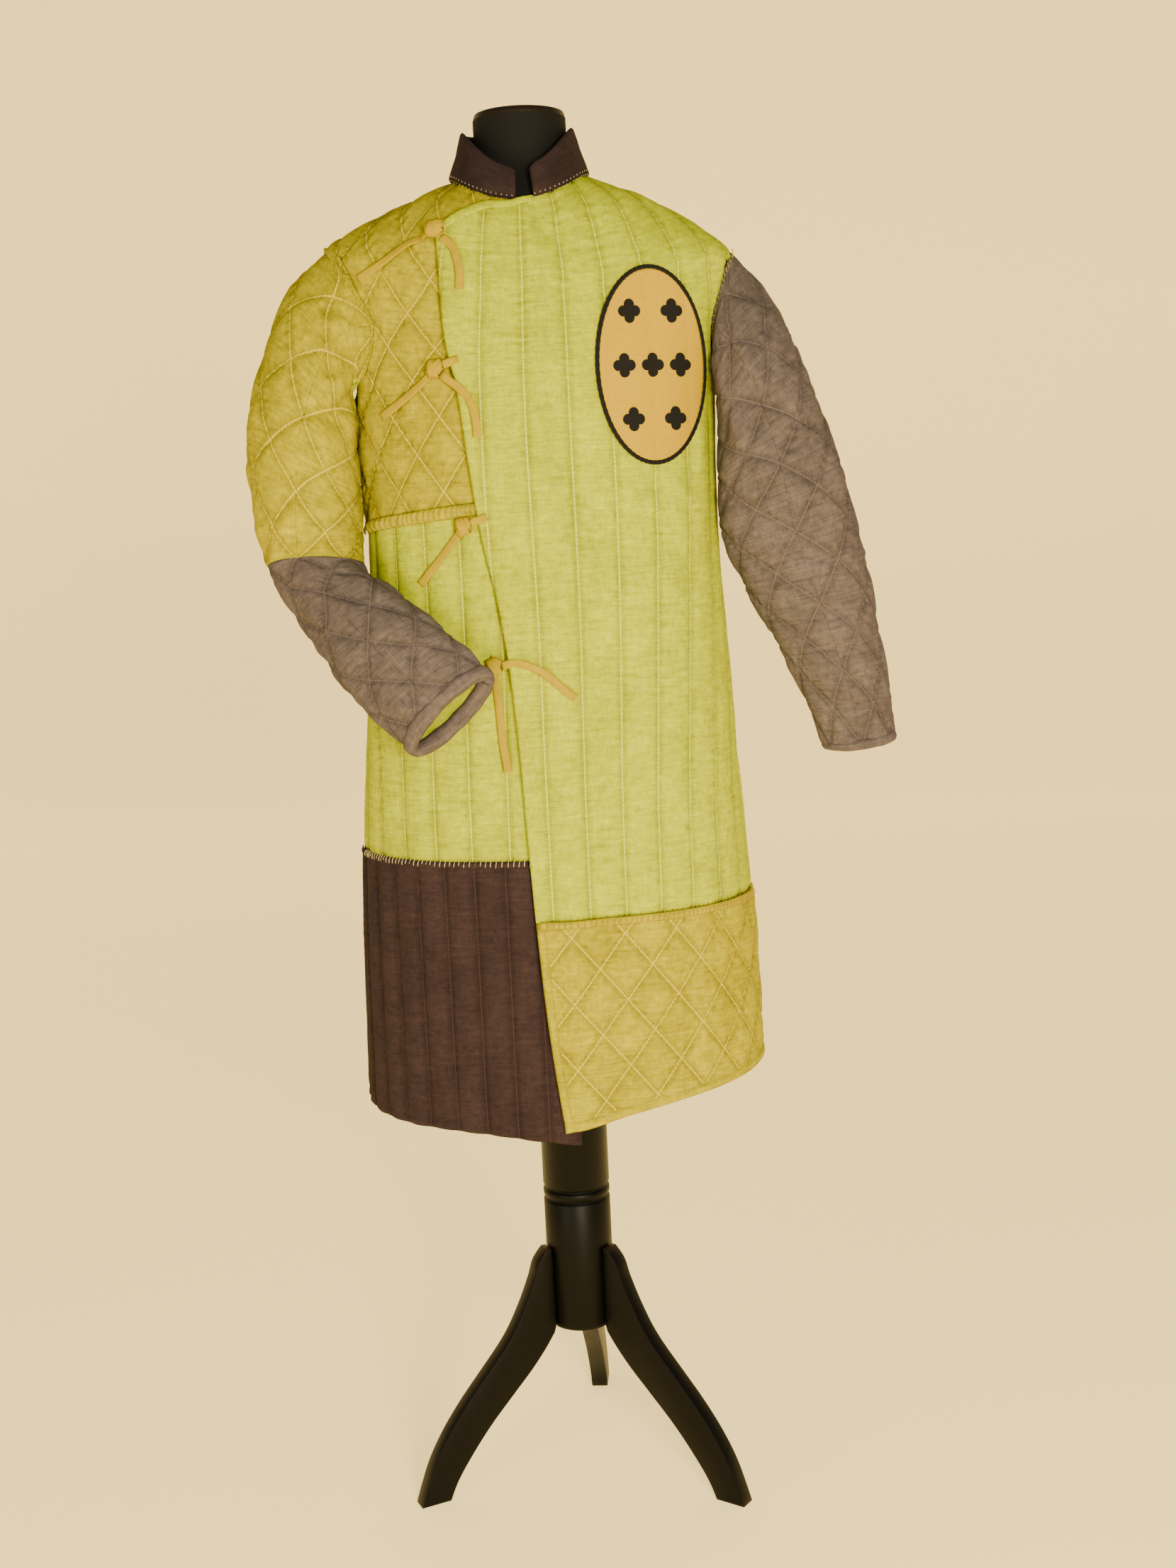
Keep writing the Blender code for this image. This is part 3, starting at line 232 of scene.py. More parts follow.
# Width of the lime channels along the ring, by level, and the line that all of them keep to
CHANNEL_COLUMNS = ("level", "width")
CHANNEL_ROWS = (
    (0.500, 0.0400), (0.750, 0.0430), (0.850, 0.0438), (1.000, 0.0460), (1.300, 0.0500),
    (1.450, 0.0480), (1.550, 0.0430), (1.606, 0.0380),
)
CHANNEL_ANCHOR = 0.0395


# ---- Reading tables and laying points on the coat's form

def smooth_column(rows, columns, name, at):
    """A column of a table read at any key by a smooth curve through its rows."""
    table = np.array(rows, dtype=float)
    keys, values = table[:, 0], table[:, columns.index(name)]
    slopes = np.gradient(values, keys)
    at = np.clip(np.asarray(at, dtype=float), keys[0], keys[-1])
    low = np.clip(np.searchsorted(keys, at) - 1, 0, len(keys) - 2)
    span = keys[low + 1] - keys[low]
    t = (at - keys[low]) / span
    return ((2 * t**3 - 3 * t**2 + 1) * values[low] + (t**3 - 2 * t**2 + t) * span * slopes[low]
            + (3 * t**2 - 2 * t**3) * values[low + 1] + (t**3 - t**2) * span * slopes[low + 1])


def ease(t):
    t = np.clip(t, 0.0, 1.0)
    return t * t * (3.0 - 2.0 * t)


def unit(vectors):
    return vectors / np.maximum(np.linalg.norm(vectors, axis=-1, keepdims=True), 1e-12)


def body(turn, level):
    """The coat's outer form: turn 0 is the front, a quarter turn the left side."""
    turn, level = np.broadcast_arrays(np.asarray(turn, float), np.asarray(level, float))
    ring = {name: smooth_column(BODY_RINGS, BODY_COLUMNS, name, level) for name in BODY_COLUMNS[1:]}
    ahead, aside = np.cos(turn), np.sin(turn)
    depth = np.where(ahead > 0, ring["front"], ring["back"])
    end_z = np.where(ahead > 0, ring["front_z"], ring["back_z"])
    x = ring["shift"] + ring["half"] * aside
    y = -depth * ahead * (1.0 + FULLNESS * aside**2)
    rise = np.where(aside > 0, ring["left_rise"], ring["right_rise"])
    z = level + (end_z - level) * ahead**2 + rise * aside**2
    return np.stack([x, y, z], axis=-1)


def body_normal(turn, level):
    step = 1e-4
    level = np.clip(level, FORM_BOTTOM + step, NECK_LEVEL - step)
    around = body(turn + step, level) - body(turn - step, level)
    upward = body(turn, level + step) - body(turn, level - step)
    return unit(np.cross(around, upward))


def turn_of_x(x, level):
    half = smooth_column(BODY_RINGS, BODY_COLUMNS, "half", level)
    shift = smooth_column(BODY_RINGS, BODY_COLUMNS, "shift", level)
    return np.arcsin(np.clip((x - shift) / half, -0.999, 0.999))


def at_front(x, z):
    """Turn and level of the front place that is seen at x, z."""
    level = np.asarray(z, float) + 0.0
    turn = np.zeros_like(level)
    for _ in range(30):
        turn = turn_of_x(np.asarray(x, float), level)
        level = np.clip(level + 0.7 * (z - body(turn, level)[..., 2]), FORM_BOTTOM, NECK_LEVEL)
    return turn, level


def underlap_x(level):
    """Sideways place of the right front's hidden edge, which draws back below the collar."""
    return UNDERLAP_X - 0.026 * ease((np.asarray(level) - 1.52) / 0.06)


def edge_x(level):
    return smooth_column(EDGE_ROWS, EDGE_COLUMNS, "x", level)


def overlap_rise(turn, level):
    """How far the left front stands out where it lies over the right front."""
    x = body(turn, level)[..., 0]
    fade = OVERLAP_FADE - 0.026 * ease((level - 1.52) / 0.06)
    return OVERLAP_RISE * (1.0 - ease((x - underlap_x(level) - 0.002) / fade))


def even_arc(share, start, end):
    """Turns that divide a side of the body in equal widths, between two turns."""
    turn = start + (end - start) * share
    return turn - 0.055 * np.sin(2.0 * turn) + 0.055 * (
        np.sin(2.0 * start) * (1 - share) + np.sin(2.0 * end) * share)


def build_arcs():
    """Lengths round the rings, so that a place can be told by its width of cloth."""
    levels = np.linspace(FORM_BOTTOM, NECK_LEVEL, 64)
    turns = np.linspace(-2.0 * math.pi, 2.0 * math.pi, 721)
    rings = body(turns[None, :], levels[:, None])
    steps = np.linalg.norm(np.diff(rings, axis=1), axis=2)
    arcs = np.concatenate([np.zeros((len(levels), 1)), np.cumsum(steps, axis=1)], axis=1)
    return levels, turns, arcs - arcs[:, 360:361]


ARC_LEVELS, ARC_TURNS, ARCS = build_arcs()


def arc_of(turn, level):
    """Width of cloth from the front's middle to a turn, along the ring at a level."""
    i = np.clip((level - ARC_LEVELS[0]) / (ARC_LEVELS[1] - ARC_LEVELS[0]), 0, len(ARC_LEVELS) - 1.001)
    j = np.clip((turn - ARC_TURNS[0]) / (ARC_TURNS[1] - ARC_TURNS[0]), 0, len(ARC_TURNS) - 1.001)
    i0, j0 = i.astype(int), j.astype(int)
    fi, fj = i - i0, j - j0
    return (ARCS[i0, j0] * (1 - fi) * (1 - fj) + ARCS[i0 + 1, j0] * fi * (1 - fj)
            + ARCS[i0, j0 + 1] * (1 - fi) * fj + ARCS[i0 + 1, j0 + 1] * fi * fj)


def photo_place(points):
    """Where points about the stand's axis are seen in the photograph, in its pixels."""
    ahead = np.array([0.0, math.cos(CAMERA_PITCH), -math.sin(CAMERA_PITCH)])
    up = np.array([0.0, math.sin(CAMERA_PITCH), math.cos(CAMERA_PITCH)])
    seen = points - CAMERA_AT
    side, rise, depth = seen[..., 0], seen @ up, seen @ ahead
    cos, sin = math.cos(CAMERA_ROLL), math.sin(CAMERA_ROLL)
    px = 0.5 * PHOTO_SIZE[0] + PHOTO_FOCAL * (side * cos - rise * sin) / depth
    py = 0.5 * PHOTO_SIZE[1] - PHOTO_FOCAL * (side * sin + rise * cos) / depth
    return np.stack([px, py], axis=-1)


# ---- Relief of padded cloth

def hashed(cells, seed):
    """Repeatable random values from 0 to 1 for whole-number cells."""
    n = (cells[..., 0] * 374761393 + cells[..., 1] * 668265263 + cells[..., 2] * 2147483647
         + seed * 974634777).astype(np.int64)
    n = (n ^ (n >> 13)) * 1274126177
    return ((n ^ (n >> 16)) & 0xFFFF) / 65535.0


def soft_noise(points, size, seed=0):
    """Smooth noise from -1 to 1 whose lumps measure about size."""
    at = np.asarray(points, float) / np.asarray(size, float)
    low = np.floor(at).astype(np.int64)
    part = ease(at - low)
    total = 0.0
    for dx in (0, 1):
        for dy in (0, 1):
            for dz in (0, 1):
                weight = (np.where(dx, part[..., 0], 1 - part[..., 0])
                          * np.where(dy, part[..., 1], 1 - part[..., 1])
                          * np.where(dz, part[..., 2], 1 - part[..., 2]))
                total = total + weight * hashed(low + np.array([dx, dy, dz]), seed)
    return total * 2.0 - 1.0


def groove(distance, half, depth):
    """Section of quilted padding from a stitched line to the middle of its channel."""
    pinch = np.exp(-distance / 0.0050)
    swell = (1.0 - np.clip(distance / half, 0, 1)) ** 2.0
    return -depth * (0.55 * pinch + 0.45 * swell)


def puckers(distance, along, place, strength, seed):
    """Small gathers that run out from a stitched line."""
    wave = np.sin(2.0 * math.pi * (along / 0.0115 + 0.35 * soft_noise(place, 0.02, seed)))
    patchy = np.clip(0.55 + 0.9 * soft_noise(place, 0.035, seed + 1), 0, 1)
    return strength * wave * patchy * np.exp(-((distance - 0.004) / 0.008) ** 2)


def creases(places, rows):
    """Soft folds laid one by one: each row is x1, y1, x2, y2, width and height in the places' units."""
    total = np.zeros(places.shape[:-1])
    for x1, y1, x2, y2, width, height in rows:
        start, along = np.array([x1, y1]), np.array([x2 - x1, y2 - y1])
        length = np.linalg.norm(along)
        along = along / length
        offset = places - start
        t = (offset @ along) / length
        bow = 0.10 * length * np.clip(t * (1 - t), 0, None)
        q = offset @ np.array([-along[1], along[0]]) - bow
        fade = np.clip(4.0 * np.clip(t, 0, 1) * (1 - np.clip(t, 0, 1)), 0, 1) ** 0.7
        total += height * fade * (np.exp(-(q / width) ** 2) - 0.45 * np.exp(-((q - 1.7 * width) / width) ** 2))
    return total


# ---- Making pieces

def linear(text):
    """Linear colour of an sRGB hex value."""
    parts = [int(text[k:k + 2], 16) / 255.0 for k in (1, 3, 5)]
    return tuple(c / 12.92 if c <= 0.04045 else ((c + 0.055) / 1.055) ** 2.4 for c in parts)


def rgba(color):
    return (color[0], color[1], color[2], 1.0)


def linked(name, mesh):
    made = bpy.data.objects.new(name, mesh)
    bpy.context.scene.collection.objects.link(made)
    return made


def dress(piece, materials, replaces=()):
    """Gives a piece its materials, its body and the solids that it stands for."""
    for one in materials:
        piece.data.materials.append(one)
    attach(piece, "root")
    if replaces:
        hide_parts(*replaces)
    return piece


def grid_piece(name, columns, rows, shape, tube=False):
    """A cloth surface from a grid whose shares a function turns into points and two pattern maps."""
    bm = bmesh.new()
    bmesh.ops.create_grid(bm, x_segments=columns, y_segments=rows, size=0.5)
    mesh = bpy.data.meshes.new(name)
    bm.to_mesh(mesh)
    share = np.zeros(len(mesh.vertices) * 3)
    mesh.vertices.foreach_get("co", share)
    share = share.reshape(-1, 3)[:, :2] + 0.5
    points, cut, thread = shape(share[:, 0], share[:, 1])
    mesh.vertices.foreach_set("co", (points + AXIS).astype(np.float32).ravel())
    corners = np.zeros(len(mesh.loops), dtype=np.int32)
    mesh.loops.foreach_get("vertex_index", corners)
    for label, values in (("cut", cut), ("thread", thread)):
        layer = mesh.uv_layers.new(name=label)
        layer.data.foreach_set("uv", values[corners].astype(np.float32).ravel())
    if tube:
        bm.clear()
        bm.from_mesh(mesh)
        bmesh.ops.remove_doubles(bm, verts=bm.verts, dist=1e-6)
        bm.to_mesh(mesh)
    bm.free()
    mesh.shade_smooth()
    mesh.update()
    return linked(name, mesh)


def thicken(piece, thickness, lined=True):
    """Closes a surface to a shell of that thickness towards its inside."""
    solidify = piece.modifiers.new("thickness", "SOLIDIFY")
    solidify.thickness = thickness
    solidify.offset = -1.0
    solidify.use_even_offset = False
    if lined:
        solidify.material_offset = 1
    return piece


def flip_outwards(piece, outward):
    """Turns a surface over where its faces look against the given directions."""
    mesh = piece.data
    total = 0.0
    for polygon in list(mesh.polygons)[::37]:
        total += float(np.dot(np.array(polygon.normal), outward(np.array(polygon.center))))
    if total < 0:
        bm = bmesh.new()
        bm.from_mesh(mesh)
        bmesh.ops.reverse_faces(bm, faces=bm.faces)
        bm.to_mesh(mesh)
        bm.free()
    return piece


# ---- Materials

MATERIALS = {}


def add(tree, kind, settings=None, links=None):
    """Adds a shader node with its settings and links."""
    made = tree.nodes.new(kind)
    for key, value in (settings or {}).items():
        if isinstance(key, int) or key in made.inputs:
            made.inputs[key].default_value = value
        else:
            setattr(made, key, value)
    for key, source in (links or {}).items():
        tree.links.new(source, made.inputs[key])
    return made


def start_material(name):
    made = bpy.data.materials.new(name)
    made.use_nodes = True
    tree = made.node_tree
    tree.nodes.clear()
    shader = add(tree, "ShaderNodeBsdfPrincipled")
    output = add(tree, "ShaderNodeOutputMaterial", links={"Surface": shader.outputs["BSDF"]})
    MATERIALS[name] = made
    return made, tree, shader, output


def line_mask(tree, across, along, spacing_mm, pitch_mm, width_mm):
    """Dashed mask of a stitched line at whole values of one map coordinate, and how near it is."""
    shifted = add(tree, "ShaderNodeMath", {"operation": "ADD", 1: 0.5}, {0: across})
    part = add(tree, "ShaderNodeMath", {"operation": "FRACT"}, {0: shifted.outputs[0]})
    centred = add(tree, "ShaderNodeMath", {"operation": "SUBTRACT", 1: 0.5}, {0: part.outputs[0]})
    near = add(tree, "ShaderNodeMath", {"operation": "ABSOLUTE"}, {0: centred.outputs[0]})
    share = width_mm / spacing_mm
    line = add(tree, "ShaderNodeMapRange", {"interpolation_type": "SMOOTHSTEP", "From Min": 0.35 * share,
                                            "From Max": 0.65 * share, "To Min": 1.0, "To Max": 0.0},
               {"Value": near.outputs[0]})
    beat = add(tree, "ShaderNodeMath", {"operation": "MULTIPLY", 1: spacing_mm / pitch_mm}, {0: along})
    turn = add(tree, "ShaderNodeMath", {"operation": "FRACT"}, {0: beat.outputs[0]})
    gap = add(tree, "ShaderNodeMapRange", {"interpolation_type": "SMOOTHSTEP", "From Min": 0.62, "From Max": 0.78,
                                           "To Min": 1.0, "To Max": 0.45}, {"Value": turn.outputs[0]})
    return add(tree, "ShaderNodeMath", {"operation": "MULTIPLY"}, {0: line.outputs[0], 1: gap.outputs[0]}), near


def cloth_material(name, dark, light, thread, quilt, spacing_mm, weave_mm, slub, fuzz, rough, stitch_mm=1.3,
                   contrast=0.22):
    """Cloth with mottled dye, a thread pattern, stitched quilting lines and a soft nap.

    quilt is 'channels', 'diamonds' or None; slub is how strongly thick threads show.
    """
    made, tree, shader, _ = start_material(name)
    place = add(tree, "ShaderNodeTexCoord")
    # Uneven dye in patches of 45 mm, single fibres, and flecks of 8 mm
    dye = []
    for per_metre, detail, roughness in ((22.0, 4.0, 0.62), (420.0, 4.0, 0.8), (130.0, 3.0, 0.75)):
        dye.append(add(tree, "ShaderNodeTexNoise", {"Scale": per_metre, "Detail": detail, "Roughness": roughness},
                       {"Vector": place.outputs["Object"]}))
    mottle, fibres, flecks = dye
    spread = add(tree, "ShaderNodeMapRange", {"From Min": 0.36, "From Max": 0.64}, {"Value": mottle.outputs["Fac"]})
    toned = add(tree, "ShaderNodeMix", {"data_type": "RGBA", 6: rgba(dark), 7: rgba(light)}, {0: spread.outputs[0]})
    # Weft, warp and thick slubs, drawn out along their threads; coarser than real so that they show
    threads = add(tree, "ShaderNodeUVMap", {"uv_map": "thread"})
    fine = 1000.0 / weave_mm
    drawn = []
    for stretch in ((45.0, fine, 1.0), (fine, 45.0, 1.0), (26.0, 210.0, 1.0)):
        along = add(tree, "ShaderNodeMapping", {"Scale": stretch}, {"Vector": threads.outputs["UV"]})
        drawn.append(add(tree, "ShaderNodeTexNoise", {"Scale": 1.0, "Detail": 3.0, "Roughness": 0.7},
                         {"Vector": along.outputs[0]}))
    weft, warp, slubs = drawn
    warped = add(tree, "ShaderNodeMath", {"operation": "MULTIPLY", 1: 0.4}, {0: warp.outputs["Fac"]})
    grain = add(tree, "ShaderNodeMath", {"operation": "MULTIPLY_ADD", 1: 0.6},
                {0: weft.outputs["Fac"], 2: warped.outputs[0]})
    fibre = add(tree, "ShaderNodeMath", {"operation": "MULTIPLY", 1: 1.0 - slub}, {0: fibres.outputs["Fac"]})
    cloth = add(tree, "ShaderNodeMath", {"operation": "MULTIPLY_ADD", 1: slub},
                {0: grain.outputs[0], 2: fibre.outputs[0]})
    mixed = add(tree, "ShaderNodeMath", {"operation": "ADD"}, {0: slubs.outputs["Fac"], 1: flecks.outputs["Fac"]})
    coarse = add(tree, "ShaderNodeMath", {"operation": "MULTIPLY", 1: 0.25}, {0: mixed.outputs[0]})
    total = add(tree, "ShaderNodeMath", {"operation": "MULTIPLY_ADD", 1: 0.5},
                {0: cloth.outputs[0], 2: coarse.outputs[0]})
    shade = add(tree, "ShaderNodeMapRange", {"From Min": 0.40, "From Max": 0.60, "To Min": 1.0 - contrast,
                                             "To Max": 1.0 + contrast}, {"Value": total.outputs[0]})
    woven = add(tree, "ShaderNodeVectorMath", {"operation": "SCALE"}, {0: toned.outputs[2], "Scale": shade.outputs[0]})
    color = woven.outputs[0]
    height = cloth.outputs[0]
    if quilt:
        cut = add(tree, "ShaderNodeUVMap", {"uv_map": "cut"})
        parts = add(tree, "ShaderNodeSeparateXYZ", links={0: cut.outputs["UV"]})
        mask, near = line_mask(tree, parts.outputs[0], parts.outputs[1], spacing_mm, 5.0, stitch_mm)
        if quilt == "diamonds":
            other, far = line_mask(tree, parts.outputs[1], parts.outputs[0], spacing_mm, 5.0, stitch_mm)
            mask = add(tree, "ShaderNodeMath", {"operation": "MAXIMUM"}, {0: mask.outputs[0], 1: other.outputs[0]})
            near = add(tree, "ShaderNodeMath", {"operation": "MINIMUM"}, {0: near.outputs[0], 1: far.outputs[0]})
        # Painted shade: darker in the valleys that the stitching draws in, with a slight painted highlight that makes
        # the pads paler
        painted_valley_shade = add(tree, "ShaderNodeMapRange", {"interpolation_type": "SMOOTHSTEP", "From Min": 1.5 / spacing_mm,
                                                  "From Max": 9.0 / spacing_mm, "To Min": 0.80, "To Max": 1.03},
                     {"Value": near.outputs[0]})
        valley_shaded = add(tree, "ShaderNodeVectorMath", {"operation": "SCALE"}, {0: color, "Scale": painted_valley_shade.outputs[0]})
        sewn = add(tree, "ShaderNodeMix", {"data_type": "RGBA", 7: rgba(thread)},
                   {0: mask.outputs[0], 6: valley_shaded.outputs[0]})
        color = sewn.outputs[2]
        raised = add(tree, "ShaderNodeMath", {"operation": "MULTIPLY_ADD", 1: 1.2}, {0: mask.outputs[0], 2: height})
        height = raised.outputs[0]
    bump = add(tree, "ShaderNodeBump", {"Strength": 0.7, "Distance": 0.0009}, {"Height": height})
    tree.links.new(color, shader.inputs["Base Color"])
    tree.links.new(bump.outputs[0], shader.inputs["Normal"])
    shader.inputs["Roughness"].default_value = rough
    shader.inputs["Sheen Weight"].default_value = fuzz
    shader.inputs["Sheen Roughness"].default_value = 0.55
    shader.inputs["Sheen Tint"].default_value = rgba(light)
    shader.inputs["Specular IOR Level"].default_value = 0.12
    return made


def make_cloths(colors):
    """All cloths of the coat, from the colours in the panel."""
    tone = lambda color, scale: tuple(min(1.0, c * scale) for c in color)
    plain = lambda color: tuple(color)[:3]
    lime, gold, taupe, brown = (plain(c) for c in (colors.lime, colors.gold, colors.taupe, colors.brown))
    # Linen and wool union cloth: matt, its dye slightly uneven, fine thick and thin threads
    pale_lime = tuple(0.55 * c + 0.45 * t for c, t in zip(lime, linear("#F4EC78")))
    cloth_material("lime_wool_flannel", tone(lime, 0.90), tone(lime, 1.07), pale_lime,
                   "channels", 46.0, 2.4, 0.62, 0.0, 0.95, 2.0, 0.34)
    # Lime lining of the same cloth, without quilting lines
    cloth_material("lime_lining", tone(lime, 0.78), tone(lime, 1.0), lime,
                   None, 46.0, 2.4, 0.62, 0.04, 0.95)
    # Gold cloth quilted in diamonds with a paler thread
    pale = tuple(0.62 * c + 0.38 * t for c, t in zip(gold, linear("#F6E25E")))
    cloth_material("gold_wool_flannel", tone(gold, 0.88), tone(gold, 1.10), pale,
                   "diamonds", 49.0, 2.4, 0.66, 0.0, 0.93, 2.0, 0.36)
    # Undyed linen: crossing threads with slubs, quilted with a thread of its own colour
    cloth_material("taupe_linen_weave", tone(taupe, 0.86), tone(taupe, 1.14), tone(taupe, 1.45),
                   "diamonds", 54.0, 2.2, 0.85, 0.03, 0.92, 1.4, 0.40)
    # Fulled brown wool, close and dull
    cloth_material("brown_fulled_wool", tone(brown, 0.85), tone(brown, 1.15), tone(brown, 1.7),
                   "channels", 37.0, 2.0, 0.45, 0.03, 0.97, 1.2, 0.34)
    # Painted shade: the collar takes a darker copy of the brown wool, toned down because the lights catch the collar's
    # top more than the hem
    cloth_material("brown_collar_felt_shaded", tone(brown, 0.60), tone(brown, 0.95), brown,
                   None, 37.0, 2.0, 0.25, 0.06, 0.97)


# ---- Fronts and back

def arm_path(t, bottom, low_end, high_start):
    """Levels at a side seam, round its armhole and up its shoulder, and the armhole's swing."""
    swing = -0.5 * math.pi + math.pi * np.clip((t - low_end) / (high_start - low_end), 0, 1)
    hole = 0.5 * (ARM_LOW + ARM_TOP) + 0.5 * (ARM_TOP - ARM_LOW) * np.sin(swing)
    low = bottom + (ARM_LOW - bottom) * np.clip(t / low_end, 0, 1)
    high = ARM_TOP + (NECK_LEVEL - ARM_TOP) * np.clip((t - high_start) / (1 - high_start), 0, 1)
    side = np.where(t < low_end, low, np.where(t > high_start, high, hole))
    middle = np.where(t < low_end, low, ARM_LOW + (NECK_LEVEL - ARM_LOW) * (t - low_end) / (1 - low_end))
    turned = np.where((t > low_end) & (t < high_start), np.cos(swing), 0.0)
    return side, middle, turned


def below_neckline(levels, x):
    """Rows drawn down under the left front's neckline, which drops where it crosses over."""
    top = NECK_LEVEL - smooth_column(DROP_ROWS, DROP_COLUMNS, "drop", x)
    start = 1.47
    return np.where(levels > start, start + (levels - start) * (top - start) / (NECK_LEVEL - start), levels)


def bend(turned, share):
    return turned * np.clip((share - 0.2) / 0.8, 0, 1) ** 1.5


def side_turn(turned, part):
    return ARM_TURN[part] * turned + 0.5 * SEAM_GAP / 0.11


def hem_level(rows, turn):
    return smooth_column(rows, HEM_COLUMNS, "level", np.degrees(turn))


def channel_count(arc, level):
    """Channel lines of the lime front counted from the one left of the opening."""
    return 1.0 + (arc - CHANNEL_ANCHOR) / smooth_column(CHANNEL_ROWS, CHANNEL_COLUMNS, "width", level)


def edge_softening(distance, size=0.0045, depth=0.0026):
    """Rounds a free edge by letting its last millimetres fall back."""
    return -depth * (1.0 - np.clip(distance / size, 0, 1)) ** 2


def shell(turn, level, height):
    return body(turn, level) + body_normal(turn, level) * height[..., None]


def left_front_shape(u, v):
    """Lime front that closes over the right one, from its free edge to the side seam."""
    crossing = 0.17
    bottom = YELLOW_SEAM + 0.5 * SEAM_GAP
    side, middle, turned = arm_path(v, bottom, 0.62, 0.86)
    share = np.clip((u - crossing) / (1 - crossing), 0, 1)
    level_main = middle * (1 - share**1.5) + side * share**1.5
    first = turn_of_x(FIRST_CHANNEL_X, level_main)
    turn_main = even_arc(share, first, 0.5 * math.pi) - bend(side_turn(turned, "left_front"), share)
    level_main = below_neckline(level_main, body(turn_main, level_main)[..., 0])
    part = np.clip(u / crossing, 0, 1)
    level_cross = middle
    for _ in range(4):
        edge = edge_x(level_cross)
        x = edge + (FIRST_CHANNEL_X - edge) * part
        level_cross = below_neckline(middle, x)
    crosses = u < crossing
    turn = np.where(crosses, turn_of_x(x, level_cross), turn_main)
    level = np.where(crosses, level_cross, level_main)
    arc = arc_of(turn, level)
    edge_arc = arc_of(turn_of_x(edge_x(level), level), level)
    from_edge = arc - edge_arc
    count = channel_count(arc, level)
    width = smooth_column(CHANNEL_ROWS, CHANNEL_COLUMNS, "width", level)
    distance = np.abs(count - np.round(count)) * width
    inset = 0.0125 + 0.0055 * ease((level - 0.8) / 0.5)
    close = np.abs(from_edge - inset)
    shown = count > -1.5
    relief = np.where(shown, groove(distance, 0.5 * width, 0.0042), 0.0) + groove(close, 0.012, 0.0014)
    place = shell(turn, level, np.zeros_like(level))
    relief = np.clip(relief, -0.0046, 0.0)
    relief += edge_softening(from_edge) - SEAM_DIP * np.exp(-(level - bottom) / 0.003)
    relief += 0.0028 * np.exp(-(from_edge / 0.016) ** 2) * ease((level - 0.62) / 0.04) * ease((1.50 - level) / 0.04)
    relief += 0.0016 * soft_noise(place, (0.06, 0.06, 0.11), 3) - 0.0008
    relief += 0.0004 * soft_noise(place, (0.014, 0.014, 0.024), 4)
    relief += puckers(distance, level, place, 0.0007, 5)
    relief += facing_creases(place, LEFT_FRONT_CREASES)
    points = shell(turn, level, overlap_rise(turn, level) + relief)
    cut = np.stack([count, level / 0.046], axis=-1)
    return points, cut, np.stack([arc, level], axis=-1)


def facing_creases(place, rows):
    """Creases laid where the photograph shows them, on what faces the viewer."""
    return creases(photo_place(place), rows) * ease((-place[..., 1] - 0.005) / 0.04)


LEFT_FRONT_CREASES = (
    (905, 640, 1010, 720, 12, 0.0022), (930, 720, 1005, 840, 14, -0.0016),
    (985, 560, 1000, 700, 10, 0.0015), (820, 1120, 860, 1290, 16, 0.0010),
)


def diamonds(arc, level, width, height, shift_one, shift_two):
    """Quilting coordinates whose whole values are the stitched lines of a diamond quilt."""
    one = arc / width + level / height + shift_one
    two = arc / width - level / height + shift_two
    return one, two


def diamond_relief(one, two, width, height, place, depth=0.0046, seed=11):
    spacing = 1.0 / math.hypot(1.0 / width, 1.0 / height)
    near_one, near_two = np.abs(one - np.round(one)) * spacing, np.abs(two - np.round(two)) * spacing
    nearest = np.minimum(near_one, near_two)
    relief = groove(nearest, 0.5 * spacing, depth)
    relief += puckers(near_one, two * spacing, place, 0.0010, seed)
    relief += puckers(near_two, one * spacing, place, 0.0010, seed + 4)
    return relief, spacing


def left_hem_shape(u, v):
    """Gold quilted border below the lime front, closed by a stitched hem."""
    top = YELLOW_SEAM - 0.5 * SEAM_GAP
    rough = HEM_LEVEL + (top - HEM_LEVEL) * v
    turn = even_arc(u, turn_of_x(edge_x(rough), rough), 0.5 * math.pi - 0.5 * SEAM_GAP / 0.17)
    bottom = hem_level(LEFT_HEM, turn)
    level = bottom + (top - bottom) * v
    start = turn_of_x(edge_x(rough), rough)
    arc = arc_of(turn, level)
    from_edge = arc - arc_of(start, level)
    place = shell(turn, level, np.zeros_like(level))
    one, two = diamonds(arc, level, 0.063, 0.078, 0.35, 0.15)
    relief, spacing = diamond_relief(one, two, 0.063, 0.078, place)
    inside = ease((np.minimum(from_edge, level - bottom) - 0.006) / 0.012)
    hem = np.minimum(np.abs(from_edge - 0.011), np.abs(level - bottom - 0.011))
    relief = relief * inside + groove(hem, 0.01, 0.0022)
    relief += edge_softening(np.minimum(from_edge, level - bottom)) - SEAM_DIP * np.exp(-(top - level) / 0.003)
    relief += 0.0008 * soft_noise(place, (0.05, 0.05, 0.08), 21) - 0.0005
    points = shell(turn, level, overlap_rise(turn, level) + np.clip(relief, -0.0058, 0.0012) + 0.0030)
    blank = np.where(inside > 0.3, 0.0, 1.0)
    cut = np.stack([np.where(blank > 0, 0.5, one), np.where(blank > 0, 0.5, two)], axis=-1)
    return points, cut, np.stack([arc, level], axis=-1)


def chest_seam(turns):
    return CHEST_SEAM_SIDE + CHEST_SEAM_RISE * (1.0 + turns / (0.5 * math.pi))


